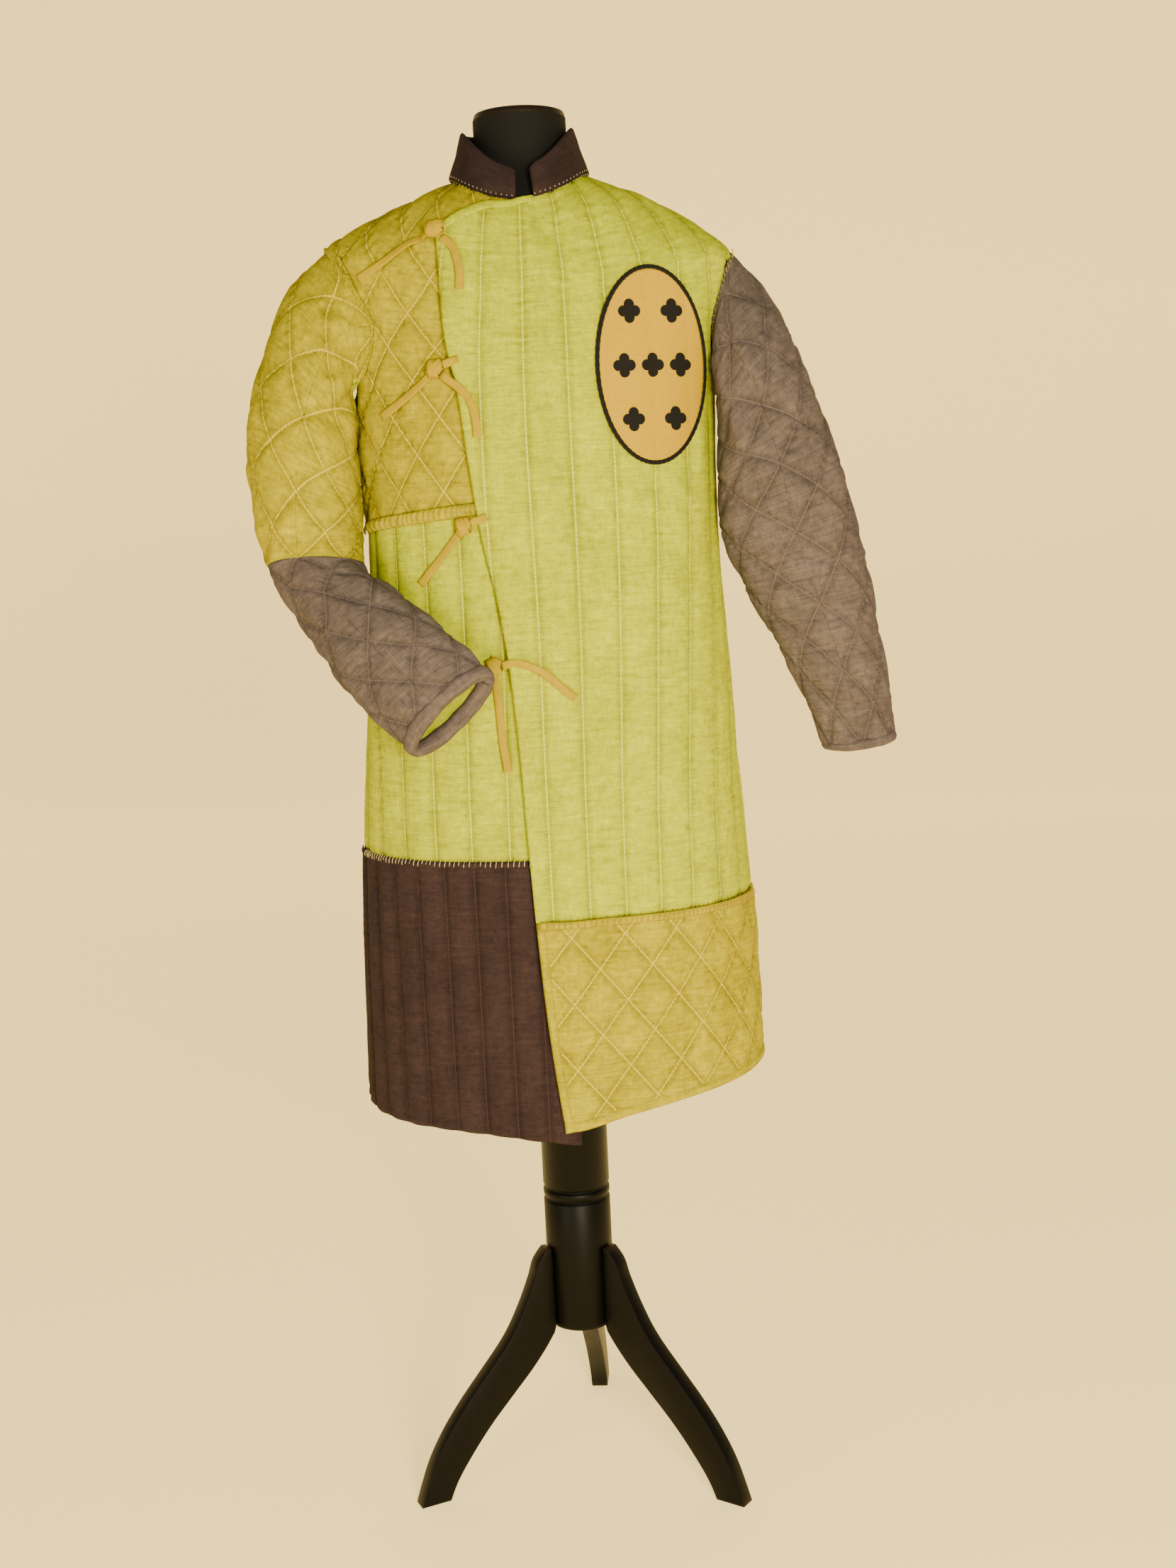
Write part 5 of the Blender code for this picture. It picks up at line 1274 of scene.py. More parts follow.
class GAMBESON_OT_bands(bpy.types.Operator):
    """Makes the narrow bands: the neckline's binding, the chest's gathered band and the hems' welts"""
    bl_idname = "gambeson.bands"
    bl_label = "Bands and welts"

    def execute(self, context):
        fade = lambda x: ease((x + 0.104) / 0.03) * ease((0.006 - x) / 0.012)
        seam_band("neckline_binding", 90, 8, band_shape(
            -0.101, 0.006, lambda x: neck_top(x) - 0.0075 + 0 * x, lambda x: neck_top(x) + 0.0015 * fade(x),
            0.0004, 0.0016, 0.0, 201, over=True), "lime_wool_flannel")
        side, front = -0.2085, -0.0705
        seam_x = lambda x: chest_seam(turn_of_x(x, 0 * x + 1.215))
        seam_band("chest_gathered_band", 260, 10, band_shape(
            side, front, lambda x: seam_x(x) - 0.0070, lambda x: seam_x(x) + 0.0080,
            0.0008, 0.0034, 0.0011, 211), "gold_wool_flannel")
        edge = float(edge_x(YELLOW_SEAM)) + 0.002
        seam_band("gold_hem_welt", 300, 8, band_shape(
            edge, 0.2310, lambda x: YELLOW_SEAM - 0.0075 + 0 * x, lambda x: YELLOW_SEAM + 0.0018 + 0 * x,
            0.0022, 0.0020, 0.0003, 221, over=True), "gold_wool_flannel")
        seam_band("brown_hem_welt", 220, 8, band_shape(
            -0.2420, -0.034, lambda x: BROWN_SEAM - 0.0060 + 0 * x, lambda x: BROWN_SEAM + 0.0016 + 0 * x,
            0.0014, 0.0014, 0.0003, 231), "brown_fulled_wool")
        return {"FINISHED"}


class GAMBESON_OT_back(bpy.types.Operator):
    """Makes the back in one piece from neck to hem"""
    bl_idname = "gambeson.back"
    bl_label = "Back"

    def execute(self, context):
        panel_piece(context, "back_cloth", 0.76, 1.16, back_shape, ("lime_wool_flannel", "lime_lining"),
                    ("back",), coarse=1.35)
        return {"FINISHED"}


def sleeve_piece(context, name, girth, length, shape, cloth, replaces):
    settings = context.scene.gambeson_coat
    step = settings.grid_mm * 0.001 * 0.95
    piece = grid_piece(name, 2 * int(0.5 * girth / step), int(length / step), shape, tube=True)
    centres = {}

    def outward(p):
        key = int(p[2] * 100)
        if key not in centres:
            centres[key] = np.array([v.co for v in piece.data.vertices if abs(v.co.z - p[2]) < 0.01]).mean(axis=0)
        return p - centres[key]

    flip_outwards(piece, outward)
    thicken(piece, settings.cloth)
    dress(piece, [MATERIALS[cloth], MATERIALS["lime_lining"]], replaces)
    return piece


class GAMBESON_OT_sleeves(bpy.types.Operator):
    """Makes the taupe left sleeve and the gold and taupe right sleeve"""
    bl_idname = "gambeson.sleeves"
    bl_label = "Sleeves"

    def execute(self, context):
        sleeve_piece(context, "left_sleeve_cloth", 0.42, 0.64, sleeve_shape(
            LEFT_SLEEVE, 1, SLEEVE_STEPS["left"], (0.0, 1.0), 7.0, 6, 0.0, 91, LEFT_SLEEVE_CREASES, LEFT_SLEEVE_HIDDEN),
                     "taupe_linen_weave", ("left_sleeve",))
        sleeve_piece(context, "right_upper_cloth", 0.43, 0.36, sleeve_shape(
            RIGHT_SLEEVE, -1, SLEEVE_STEPS["right"], (0.0, ELBOW_SEAM), 7.5, 6, 0.0, 101,
            UPPER_SLEEVE_CREASES, RIGHT_SLEEVE_HIDDEN),
                     "gold_wool_flannel", ("right_sleeve_upper",))
        sleeve_piece(context, "right_lower_cloth", 0.34, 0.30, sleeve_shape(
            RIGHT_SLEEVE, -1, SLEEVE_STEPS["right"], (ELBOW_SEAM + 0.0005, 1.0), 7.5, 6, 0.0, 111,
            LOWER_SLEEVE_CREASES, RIGHT_SLEEVE_HIDDEN),
                     "taupe_linen_weave", ("right_sleeve_lower",))
        for name, rows, side, radius, inset in (("right_cuff_roll", RIGHT_SLEEVE, -1, 0.0098, 0.0078),
                                                ("left_cuff_roll", LEFT_SLEEVE, 1, 0.0060, 0.0052)):
            roll = grid_piece(name, 120, 14, mouth_roll(rows, side, radius, inset), tube=True)
            bm = bmesh.new()
            bm.from_mesh(roll.data)
            bmesh.ops.recalc_face_normals(bm, faces=bm.faces)
            bm.to_mesh(roll.data)
            bm.free()
            dress(roll, [MATERIALS["taupe_linen_weave"]], ())
        return {"FINISHED"}


def mouth_roll(rows, side, radius, inset):
    """Shape function of the padded turned-in edge round a sleeve's mouth."""
    def shape(u, v):
        swing = 2.0 * math.pi * u
        turn = 2.0 * math.pi * v
        ring, outward = sleeve_ring(rows, np.full_like(u, 1.0), swing, MOUTH_LEAN[side])
        inner, _ = sleeve_ring(rows, np.full_like(u, 0.985), swing, MOUTH_LEAN[side])
        path = unit(ring - inner)
        thick = radius * (1.0 + 0.16 * soft_noise(ring, 0.022, 241) + 0.07 * soft_noise(ring, 0.009, 242))
        centre = ring - outward * inset - path * 0.0015
        points = centre + (outward * np.cos(turn)[..., None] * 0.85 + path * np.sin(turn)[..., None]) * thick[..., None]
        flat = np.stack([u * 0.28, v * 0.03], axis=-1)
        return points, np.stack([0.5 + 0 * u, 0.5 + 0 * v], axis=-1), flat
    return shape


class GAMBESON_OT_collar(bpy.types.Operator):
    """Makes the standing felt collar"""
    bl_idname = "gambeson.collar"
    bl_label = "Collar"

    def execute(self, context):
        piece = grid_piece("collar_felt", 200, 30, collar_shape)
        flip_outwards(piece, lambda p: np.array([p[0] - AXIS[0], p[1] - AXIS[1], 0.0]))
        thicken(piece, FELT, lined=False)
        dress(piece, [MATERIALS["brown_collar_felt_shaded"]], ("collar",))
        return {"FINISHED"}


def sewn(bm, start, end, normal, radius, arch):
    """One stitch: a thread from start to end that arches off the cloth."""
    made = bmesh.ops.create_uvsphere(bm, u_segments=6, v_segments=6, radius=1.0)
    along = end - start
    aside = unit(np.cross(normal, along))
    for vert in made["verts"]:
        a, b, t = vert.co
        s = 0.5 * (t + 1.0)
        at = start + along * s + normal * (arch * 4.0 * s * (1.0 - s))
        vert.co = at + aside * a * radius + normal * b * radius


def stitch_piece(name, spots, radius, material):
    """A row of hand stitches as one piece; each spot is start, end, normal and arch."""
    bm = bmesh.new()
    for start, end, normal, arch in spots:
        sewn(bm, start + AXIS, end + AXIS, normal, radius, arch)
    mesh = bpy.data.meshes.new(name)
    bm.to_mesh(mesh)
    bm.free()
    mesh.shade_smooth()
    return dress(linked(name, mesh), [material], ())


def thread_material(name, color, rough=0.7):
    """Linen sewing thread: two twisted plies, dull with a faint wax shine."""
    made, tree, shader, _ = start_material(name)
    place = add(tree, "ShaderNodeTexCoord")
    plies = add(tree, "ShaderNodeTexNoise", {"Scale": 900.0, "Detail": 2.0}, {"Vector": place.outputs["Object"]})
    shade = add(tree, "ShaderNodeMapRange", {"To Min": 0.75, "To Max": 1.2}, {"Value": plies.outputs["Fac"]})
    tinted = add(tree, "ShaderNodeVectorMath", {"operation": "SCALE", 0: tuple(color)[:3]}, {"Scale": shade.outputs[0]})
    tree.links.new(tinted.outputs[0], shader.inputs["Base Color"])
    shader.inputs["Roughness"].default_value = rough
    return made


def front_place(turn, level, height):
    return shell(np.array([turn]), np.array([level]), np.array([height]))[0]


class GAMBESON_OT_stitches(bpy.types.Operator):
    """Sews the hand stitches along the seams and the collar"""
    bl_idname = "gambeson.stitches"
    bl_label = "Hand stitches"

    def execute(self, context):
        trim = context.scene.gambeson_trim
        cream = thread_material("cream_linen_thread", trim.thread)
        golden = thread_material("golden_linen_thread", trim.ribbon)
        ochre = thread_material("ochre_linen_thread", linear("#A08400"))
        spots = []
        for u in np.arange(0.004, 0.997, 0.0058 / 0.47):
            pair = collar_shape(np.array([u, u]), np.array([0.0, 0.075]))[0]
            turn = COLLAR_OPENS_LEFT + (2.0 * math.pi + COLLAR_OPENS_RIGHT - COLLAR_OPENS_LEFT) * u
            normal = body_normal(np.array([turn]), np.array([COLLAR_LAID_LEVEL]))[0]
            spots.append((pair[0] - normal * 0.002, pair[1] + normal * 0.0006, normal, 0.0006))
        stitch_piece("collar_stitches", spots, 0.00045, cream)
        rows = (("brown_seam_stitches", BROWN_SEAM, -1.30, -0.02, 0.0062 / 0.22, 0.0064, 0.0042, 0.0026, cream, 0.00045,
                 "brown_felt", False),
                ("gold_seam_stitches", YELLOW_SEAM, float(turn_of_x(edge_x(YELLOW_SEAM), YELLOW_SEAM)) + 0.02, 1.36,
                 0.0064 / 0.22, 0.0088, 0.0040, 0.0048, ochre, 0.00060, "gold_wool", True),
                ("chest_seam_stitches", None, -1.50, -0.36, 0.0066 / 0.19, 0.0066, 0.0072, 0.0038, golden, 0.00060,
                 "gold_wool", False))
        for name, seam, first, last, step, below, above, out, thread, radius, slot, over in rows:
            spots = []
            for k, turn in enumerate(np.arange(first, last, step)):
                turn = turn + 0.10 * step * math.sin(7.3 * k)
                level = seam if seam else float(chest_seam(turn))
                at, here = np.array([turn]), np.array([level])
                rise = float(overlap_rise(at, here)[0]) if over else 0.0
                low = front_place(turn, level - below, rise + 0.3 * out)
                high = front_place(turn + 0.006, level + above + 0.0008 * math.sin(3.1 * k), rise - 0.0004)
                spots.append((low, high, body_normal(at, here)[0], out))
            stitch_piece(name, spots, radius, thread)
        for name, side, first, last in (("left_armhole_stitches", 1, -0.4, 1.35),
                                        ("right_armhole_stitches", -1, -0.9, 1.35)):
            spots = []
            for swing in np.arange(first, last, 0.0075 / 0.08):
                here = np.array([swing])
                edge = armhole_loop(here, side)[0]
                centre = np.array([side * 0.222, 0.0, 0.5 * (ARM_LOW + ARM_TOP)])
                away = unit(edge - centre)
                turn = side * 0.5 * math.pi - side * 0.35 * math.cos(swing)
                normal = body_normal(np.array([turn]), np.array([edge[2]]))[0]
                start, end = edge - away * 0.0015 + normal * 0.0036, edge + away * 0.0050 + normal * 0.0020
                spots.append((start, end, normal, 0.0006))
            stitch_piece(name, spots, 0.00060, golden)
        return {"FINISHED"}


def patch_shape(lift, scale):
    """Shape function of the oval patch or of a ring round it."""
    def shape(u, v):
        a, b = 2.0 * u - 1.0, 2.0 * v - 1.0
        x = PATCH_X + PATCH_HALF_WIDTH * scale * a * np.sqrt(1 - 0.5 * b**2)
        z = PATCH_Z + PATCH_HALF_HEIGHT * scale * b * np.sqrt(1 - 0.5 * a**2)
        turn, level = at_front(x, z)
        arc = arc_of(turn, level)
        place = shell(turn, level, np.zeros_like(level))
        count = channel_count(arc, level)
        width = smooth_column(CHANNEL_ROWS, CHANNEL_COLUMNS, "width", level)
        distance = np.abs(count - np.round(count)) * width
        relief = 0.35 * groove(distance, 0.5 * width, 0.0030)
        relief += 0.0005 * soft_noise(place, 0.03, 121)
        points = shell(turn, level, overlap_rise(turn, level) + relief + lift)
        return points, np.stack([a, b], axis=-1), np.stack([arc, level], axis=-1)
    return shape


def plain_cloth(name, color, rough, scale):
    """Close cotton cloth with a fine thread, for the patch and its black pieces."""
    made, tree, shader, _ = start_material(name)
    place = add(tree, "ShaderNodeTexCoord")
    weave = add(tree, "ShaderNodeTexNoise", {"Scale": scale, "Detail": 3.0, "Roughness": 0.7},
                {"Vector": place.outputs["Object"]})
    shade = add(tree, "ShaderNodeMapRange", {"From Min": 0.3, "From Max": 0.7, "To Min": 0.88, "To Max": 1.10},
                {"Value": weave.outputs["Fac"]})
    tinted = add(tree, "ShaderNodeVectorMath", {"operation": "SCALE", 0: tuple(color)[:3]}, {"Scale": shade.outputs[0]})
    bump = add(tree, "ShaderNodeBump", {"Strength": 0.4, "Distance": 0.0004}, {"Height": weave.outputs["Fac"]})
    tree.links.new(tinted.outputs[0], shader.inputs["Base Color"])
    tree.links.new(bump.outputs[0], shader.inputs["Normal"])
    shader.inputs["Roughness"].default_value = rough
    shader.inputs["Specular IOR Level"].default_value = 0.15
    return made


def quatrefoil(centre, size):
    """Shape function of a plain four-lobed figure laid on the patch."""
    def shape(u, v):
        a, b = 2.0 * u - 1.0, 2.0 * v - 1.0
        p, q = a * np.sqrt(1 - 0.5 * b**2), b * np.sqrt(1 - 0.5 * a**2)
        angle, radius = np.arctan2(q, p), np.hypot(p, q)
        lobes = 0.62 + 0.38 * np.abs(np.cos(2.0 * angle)) ** 0.8
        x = centre[0] + size * radius * lobes * np.cos(angle)
        z = centre[1] + size * radius * lobes * np.sin(angle) * 1.08
        turn, level = at_front(x, z)
        arc = arc_of(turn, level)
        count = channel_count(arc, level)
        width = smooth_column(CHANNEL_ROWS, CHANNEL_COLUMNS, "width", level)
        relief = 0.35 * groove(np.abs(count - np.round(count)) * width, 0.5 * width, 0.0030)
        relief += 0.0005 * soft_noise(shell(turn, level, np.zeros_like(level)), 0.03, 121)
        points = shell(turn, level, overlap_rise(turn, level) + relief + PATCH_LIFT + 0.0016)
        return points, np.stack([a, b], axis=-1), np.stack([arc, level], axis=-1)
    return shape


class GAMBESON_OT_patch(bpy.types.Operator):
    """Makes the oval patch, its cord border and its plain figures"""
    bl_idname = "gambeson.patch"
    bl_label = "Patch"

    def execute(self, context):
        trim = context.scene.gambeson_trim
        golden = plain_cloth("marigold_cotton_cloth", trim.patch, 0.8, 420.0)
        black = plain_cloth("black_wool_cord", linear("#171616"), 0.85, 700.0)
        piece = grid_piece("patch_cloth", 60, 90, patch_shape(PATCH_LIFT + 0.0010, 1.0))
        thicken(piece, 0.0010, lined=False)
        dress(piece, [golden], ("patch",))
        steps = 160
        angle = np.linspace(0, 2.0 * math.pi, steps + 1)
        x = PATCH_X + (PATCH_HALF_WIDTH + 0.0022) * np.cos(angle)
        z = PATCH_Z + (PATCH_HALF_HEIGHT + 0.0022) * np.sin(angle)
        turn, level = at_front(x, z)
        normal = body_normal(turn, level)
        middle = body(turn, level) + normal * (overlap_rise(turn, level) + PATCH_LIFT + 0.0008)[..., None]
        along = unit(np.roll(middle[:-1], -1, axis=0) - np.roll(middle[:-1], 1, axis=0))
        along = np.concatenate([along, along[:1]])
        aside = unit(np.cross(normal, along))

        def cord_shape(u, v):
            at = v * steps
            low = np.clip(at.astype(int), 0, steps - 1)
            part = (at - low)[:, None]
            read = lambda table: table[low] * (1 - part) + table[low + 1] * part
            round_turn = 2.0 * math.pi * u
            twist = 1.0 + 0.10 * np.cos(2.0 * round_turn - at * 3.0)
            points = (read(middle) + read(aside) * (0.0024 * twist * np.cos(round_turn))[:, None]
                      + read(normal) * (0.0013 * twist * np.sin(round_turn))[:, None])
            return points, np.stack([u, v], axis=-1), np.stack([u, v], axis=-1)

        cord = grid_piece("patch_cord", 12, steps * 2, cord_shape, tube=True)
        dress(cord, [black], ("patch_border",))
        spots = [(-0.024, 0.060), (0.024, 0.060), (-0.032, 0.0), (0.0, 0.0), (0.032, 0.0), (-0.024, -0.060),
                 (0.024, -0.060)]
        for k, (dx, dz) in enumerate(spots):
            figure = grid_piece(f"patch_figure_{k + 1}", 28, 28, quatrefoil((PATCH_X + dx, PATCH_Z + dz), 0.0125))
            thicken(figure, 0.0005, lined=False)
            dress(figure, [black], ())
        return {"FINISHED"}


def spun(name, profile, centre, steps, material, replaces):
    """A turned piece spun from radius and height pairs."""
    bm = bmesh.new()
    verts = [bm.verts.new((r, 0.0, h)) for r, h in profile]
    edges = [bm.edges.new(pair) for pair in zip(verts, verts[1:])]
    bmesh.ops.spin(bm, geom=verts + edges, cent=(0, 0, 0), axis=(0, 0, 1), angle=2.0 * math.pi,
                   steps=steps, use_merge=True)
    bmesh.ops.remove_doubles(bm, verts=bm.verts, dist=1e-6)
    bmesh.ops.recalc_face_normals(bm, faces=bm.faces)
    bmesh.ops.translate(bm, verts=bm.verts, vec=Vector(centre))
    mesh = bpy.data.meshes.new(name)
    bm.to_mesh(mesh)
    bm.free()
    mesh.shade_smooth()
    mesh.set_sharp_from_angle(angle=math.radians(35))
    return dress(linked(name, mesh), [material], replaces)


def painted_wood(name, paint, bare):
    """Satin black paint brushed on wood, rubbed through to brown on proud edges."""
    made, tree, shader, _ = start_material(name)
    place = add(tree, "ShaderNodeTexCoord")
    shape = add(tree, "ShaderNodeNewGeometry")
    stretched = add(tree, "ShaderNodeMapping", {"Scale": (60.0, 60.0, 9.0)}, {"Vector": place.outputs["Object"]})
    strokes = add(tree, "ShaderNodeTexNoise", {"Scale": 1.0, "Detail": 5.0, "Roughness": 0.6},
                  {"Vector": stretched.outputs[0]})
    specks = add(tree, "ShaderNodeTexNoise", {"Scale": 160.0, "Detail": 4.0}, {"Vector": place.outputs["Object"]})
    edges = add(tree, "ShaderNodeMapRange", {"From Min": 0.56, "From Max": 0.70},
                {"Value": shape.outputs["Pointiness"]})
    worn = add(tree, "ShaderNodeMath", {"operation": "MULTIPLY"}, {0: edges.outputs[0], 1: specks.outputs["Fac"]})
    color = add(tree, "ShaderNodeMix", {"data_type": "RGBA", 6: rgba(paint), 7: rgba(bare)}, {0: worn.outputs[0]})
    gloss = add(tree, "ShaderNodeMapRange", {"To Min": 0.30, "To Max": 0.52}, {"Value": strokes.outputs["Fac"]})
    bump = add(tree, "ShaderNodeBump", {"Strength": 0.35, "Distance": 0.0004}, {"Height": strokes.outputs["Fac"]})
    tree.links.new(color.outputs[2], shader.inputs["Base Color"])
    tree.links.new(gloss.outputs[0], shader.inputs["Roughness"])
    shader.inputs["Specular IOR Level"].default_value = 0.12
    tree.links.new(bump.outputs[0], shader.inputs["Normal"])
    return made


class GAMBESON_OT_dress_form(bpy.types.Operator):
    """Makes the jersey-covered dress form and the wooden cap of its neck"""
    bl_idname = "gambeson.dress_form"
    bl_label = "Dress form"

    def execute(self, context):
        stand = context.scene.gambeson_stand
        jersey = plain_cloth("black_cotton_jersey", stand.jersey, 0.78, 500.0)
        rim = painted_wood("stained_beech", linear("#14110F"), linear("#6A4C30"))
        top = NECK_RINGS[-1]

        def shape(u, v):
            turn = 2.0 * math.pi * u
            low_share = 0.88
            level = FORM_RINGS[0][0] + (FORM_RINGS[-1][0] - FORM_RINGS[0][0]) * np.clip(v / low_share, 0, 1)
            inset = smooth_column(FORM_RINGS, FORM_COLUMNS, "inset", level)
            trunk = body(turn, level) - body_normal(turn, level) * inset[..., None]
            up = np.clip((v - low_share) / (1 - low_share), 0, 1)
            height = trunk[..., 2] + (top - trunk[..., 2]) * up
            pull = ease((height - 1.596) / 0.040)
            ring = np.stack([NECK_SHIFT + NECK_RADIUS * np.sin(turn), -NECK_RADIUS * np.cos(turn), height], axis=-1)
            mix = np.where(up > 0, np.maximum(pull, ease(up / 0.55)), 0.0)[..., None]
            points = trunk * (1 - mix) + ring * mix
            points[..., 2] = np.where(up > 0, height, trunk[..., 2])
            return points, np.stack([u, v], axis=-1), np.stack([u, v], axis=-1)

        piece = grid_piece("form_jersey", 96, 140, shape, tube=True)
        bm = bmesh.new()
        bm.from_mesh(piece.data)
        bmesh.ops.holes_fill(bm, edges=[e for e in bm.edges if e.is_boundary], sides=0)
        bmesh.ops.recalc_face_normals(bm, faces=bm.faces)
        bm.to_mesh(piece.data)
        bm.free()
        piece.data.shade_smooth()
        piece.data.set_sharp_from_angle(angle=math.radians(50))
        dress(piece, [jersey], ("form_torso",))
        low, radius = top + SEAM_GAP, NECK_RADIUS - 0.001
        profile = [(0.0, CAP_TOP), (radius - 0.005, CAP_TOP), (radius - 0.0015, CAP_TOP - 0.0012),
                   (radius, CAP_TOP - 0.004), (radius, low), (0.0, low)]
        spun("neck_cap_wood", profile, AXIS + np.array([NECK_SHIFT, 0, 0]), stand.segments, rim,
             ("form_neck_cap",))
        return {"FINISHED"}


class GAMBESON_OT_stand(bpy.types.Operator):
    """Makes the turned pole and its three sawn legs"""
    bl_idname = "gambeson.stand"
    bl_label = "Pole and legs"

    def execute(self, context):
        stand = context.scene.gambeson_stand
        paint = painted_wood("black_painted_wood", stand.paint, linear("#5A4030"))
        radius, top = COLUMN_RADIUS, COLUMN_TOP - SEAM_GAP
        profile = [(0.0, top), (radius - 0.001, top), (radius, top - 0.001)]
        for height in reversed(GROOVES):
            section = ((0.0, 0.0042), (0.0006, 0.0030), (0.0025, 0.0006))
            profile += [(radius - deep, height + off) for deep, off in section]
            profile += [(radius - deep, height - off) for deep, off in reversed(section)]
        profile += [(radius, COLUMN_BOTTOM + 0.007), (radius - 0.002, COLUMN_BOTTOM + 0.002),
                    (radius - 0.006, COLUMN_BOTTOM), (0.0, COLUMN_BOTTOM)]
        spun("pole_wood", profile, AXIS, stand.segments, paint, ("stand_column",))
        heights = np.linspace(LEG_ROWS[0][0], LEG_ROWS[-1][0], 44)
        outer = [(float(smooth_column(LEG_ROWS, LEG_COLUMNS, "outer", h)), h) for h in heights]
        inner = [(max(float(smooth_column(LEG_ROWS, LEG_COLUMNS, "inner", h)), COLUMN_RADIUS + SEAM_GAP), h)
                 for h in heights[::-1]]
        for k, name in enumerate(("leg_rear", "leg_left", "leg_right")):
            turn = math.radians(REAR_LEG_TURN - 120.0 * k)
            bm = bmesh.new()
            half = 0.5 * LEG_THICK
            verts = [bm.verts.new((r, -half, h)) for r, h in outer + inner]
            face = bm.faces.new(verts)
            wide = bmesh.ops.extrude_face_region(bm, geom=[face])
            moved = [v for v in wide["geom"] if isinstance(v, bmesh.types.BMVert)]
            bmesh.ops.translate(bm, verts=moved, vec=(0, LEG_THICK, 0))
            bmesh.ops.recalc_face_normals(bm, faces=bm.faces)
            rims = [e for e in bm.edges if abs(abs(e.verts[0].co.y) - half) < 1e-6
                    and abs(e.verts[0].co.y - e.verts[1].co.y) < 1e-6]
            bmesh.ops.bevel(bm, geom=rims, offset=0.0012, affect="EDGES", segments=2, profile=0.5, material=-1)
            bmesh.ops.rotate(bm, verts=bm.verts, cent=(0, 0, 0), matrix=Matrix.Rotation(turn, 3, "Z"))
            bmesh.ops.translate(bm, verts=bm.verts, vec=Vector(AXIS))
            mesh = bpy.data.meshes.new(name + "_wood")
            bm.to_mesh(mesh)
            bm.free()
            mesh.shade_smooth()
            mesh.set_sharp_from_angle(angle=math.radians(30))
            dress(linked(name + "_wood", mesh), [paint], (name,))
        return {"FINISHED"}


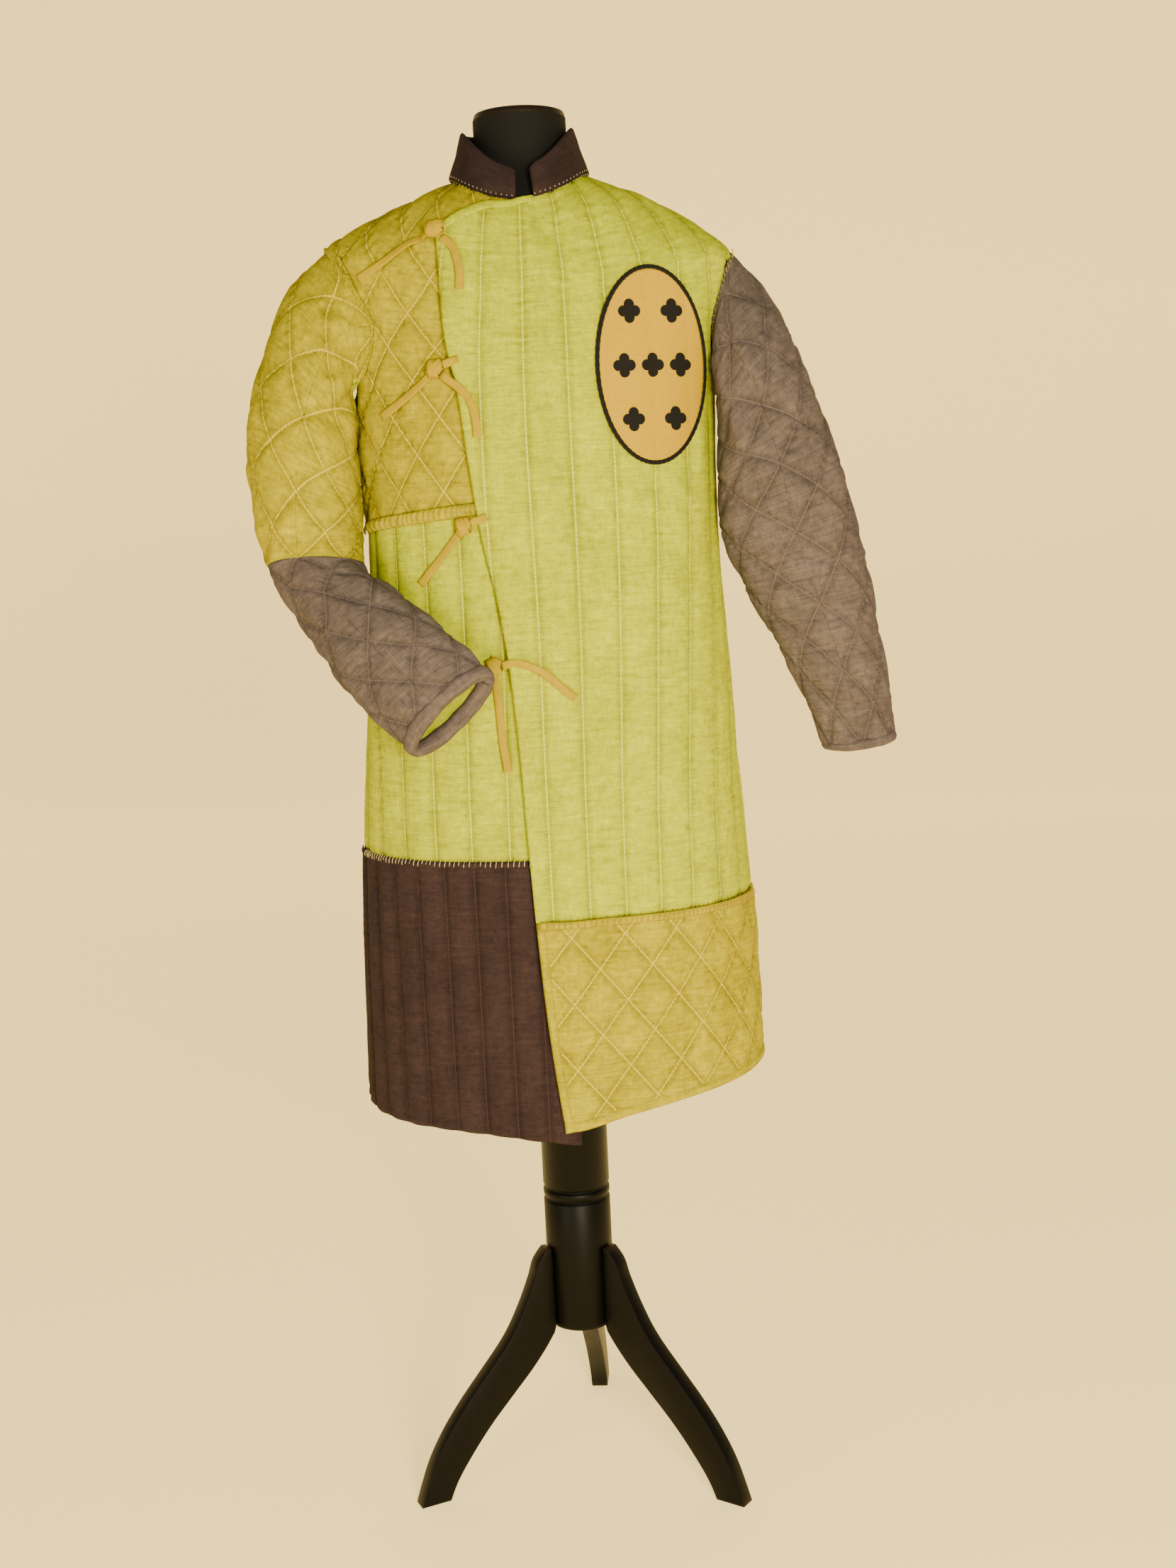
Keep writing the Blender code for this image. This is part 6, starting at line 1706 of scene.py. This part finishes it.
class GAMBESON_OT_stage(bpy.types.Operator):
    """Makes the pale floor with its curved wall and the soft lights"""
    bl_idname = "gambeson.stage"
    bl_label = "Stage and light"

    def execute(self, context):
        settings = context.scene.gambeson_stage
        made, tree, shader, _ = start_material("pale_paper_sweep")
        shader.inputs["Base Color"].default_value = rgba(settings.floor)
        shader.inputs["Roughness"].default_value = 0.95
        shader.inputs["Specular IOR Level"].default_value = 0.1
        # Lit from behind like a light table, so that floor and wall run together
        shader.inputs["Emission Color"].default_value = rgba(linear("#FFE49A"))
        shader.inputs["Emission Strength"].default_value = settings.floor_glow

        bm = bmesh.new()
        bmesh.ops.create_grid(bm, x_segments=24, y_segments=60, size=0.5)
        # Wide enough, and its wall far enough off, that no view is taken from behind it
        sweep_depth, sweep_width, bend_at, radius = 18.0, 20.0, 4.9, 1.6
        for vert in bm.verts:
            s = vert.co.y * sweep_depth
            x = vert.co.x * sweep_width
            if s < bend_at:
                vert.co = (x, s, 0.0)
            elif s < bend_at + radius * 0.5 * math.pi:
                a = (s - bend_at) / radius
                vert.co = (x, bend_at + radius * math.sin(a), radius * (1 - math.cos(a)))
            else:
                vert.co = (x, bend_at + radius, radius + (s - bend_at - radius * 0.5 * math.pi) * 5.0)
        mesh = bpy.data.meshes.new("paper_sweep")
        bm.to_mesh(mesh)
        bm.free()
        mesh.shade_smooth()
        floor = linked("paper_sweep", mesh)
        mesh.materials.append(made)

        world = bpy.data.worlds.new("studio")
        context.scene.world = world
        world.use_nodes = True
        background = world.node_tree.nodes["Background"]
        background.inputs["Color"].default_value = rgba(linear("#FFF0CF"))
        background.inputs["Strength"].default_value = 0.44
        lights = (("key", (0.75, -3.2, 1.15), (0.0, 0.0, 1.0), 0.8, 1.10 * settings.key_power, "#FFEFC8"),
                  ("fill", (-1.9, -2.4, 0.9), (0.0, 0.0, 0.9), 1.4, 0.20 * settings.key_power, "#FFEFC8"))
        for name, place, aim, size, power, tint in lights:
            data = bpy.data.lights.new(name, "AREA")
            data.size = size
            data.energy = power
            data.color = linear(tint)
            lamp = bpy.data.objects.new(name, data)
            lamp.location = place
            lamp.visible_camera = False
            lamp.rotation_euler = (Vector(aim) - Vector(place)).to_track_quat("-Z", "Y").to_euler()
            context.scene.collection.objects.link(lamp)
        return {"FINISHED"}


OPERATORS = (
    GAMBESON_OT_camera, GAMBESON_OT_ties, GAMBESON_OT_fronts, GAMBESON_OT_bands, GAMBESON_OT_back, GAMBESON_OT_sleeves,
    GAMBESON_OT_collar, GAMBESON_OT_stitches, GAMBESON_OT_patch, GAMBESON_OT_dress_form,
    GAMBESON_OT_stand, GAMBESON_OT_stage,
)
SETTINGS = (
    ("gambeson_coat", CoatSettings), ("gambeson_trim", TrimSettings),
    ("gambeson_stand", StandSettings), ("gambeson_stage", StageSettings),
)


class GAMBESON_PT_panel(bpy.types.Panel):
    """Lists the coat's settings and the steps that build it"""
    bl_idname = "GAMBESON_PT_panel"
    bl_label = "Gambeson"
    bl_space_type = "VIEW_3D"
    bl_region_type = "UI"
    bl_category = "Gambeson"

    def draw(self, context):
        for key, group in SETTINGS:
            box = self.layout.box()
            for name in group.__annotations__:
                box.prop(getattr(context.scene, key), name)
        for operator in OPERATORS:
            self.layout.operator(operator.bl_idname)


def register():
    for key, group in SETTINGS:
        bpy.utils.register_class(group)
        setattr(bpy.types.Scene, key, PointerProperty(type=group))
    for one in (*OPERATORS, GAMBESON_PT_panel):
        bpy.utils.register_class(one)


def unregister():
    for one in reversed((*OPERATORS, GAMBESON_PT_panel)):
        bpy.utils.unregister_class(one)
    for key, group in reversed(SETTINGS):
        delattr(bpy.types.Scene, key)
        bpy.utils.unregister_class(group)


def main():
    register()
    make_cloths(bpy.context.scene.gambeson_coat)
    for operator in OPERATORS:
        group, name = operator.bl_idname.split(".")
        getattr(getattr(bpy.ops, group), name)()


if __name__ == "__main__":
    main()
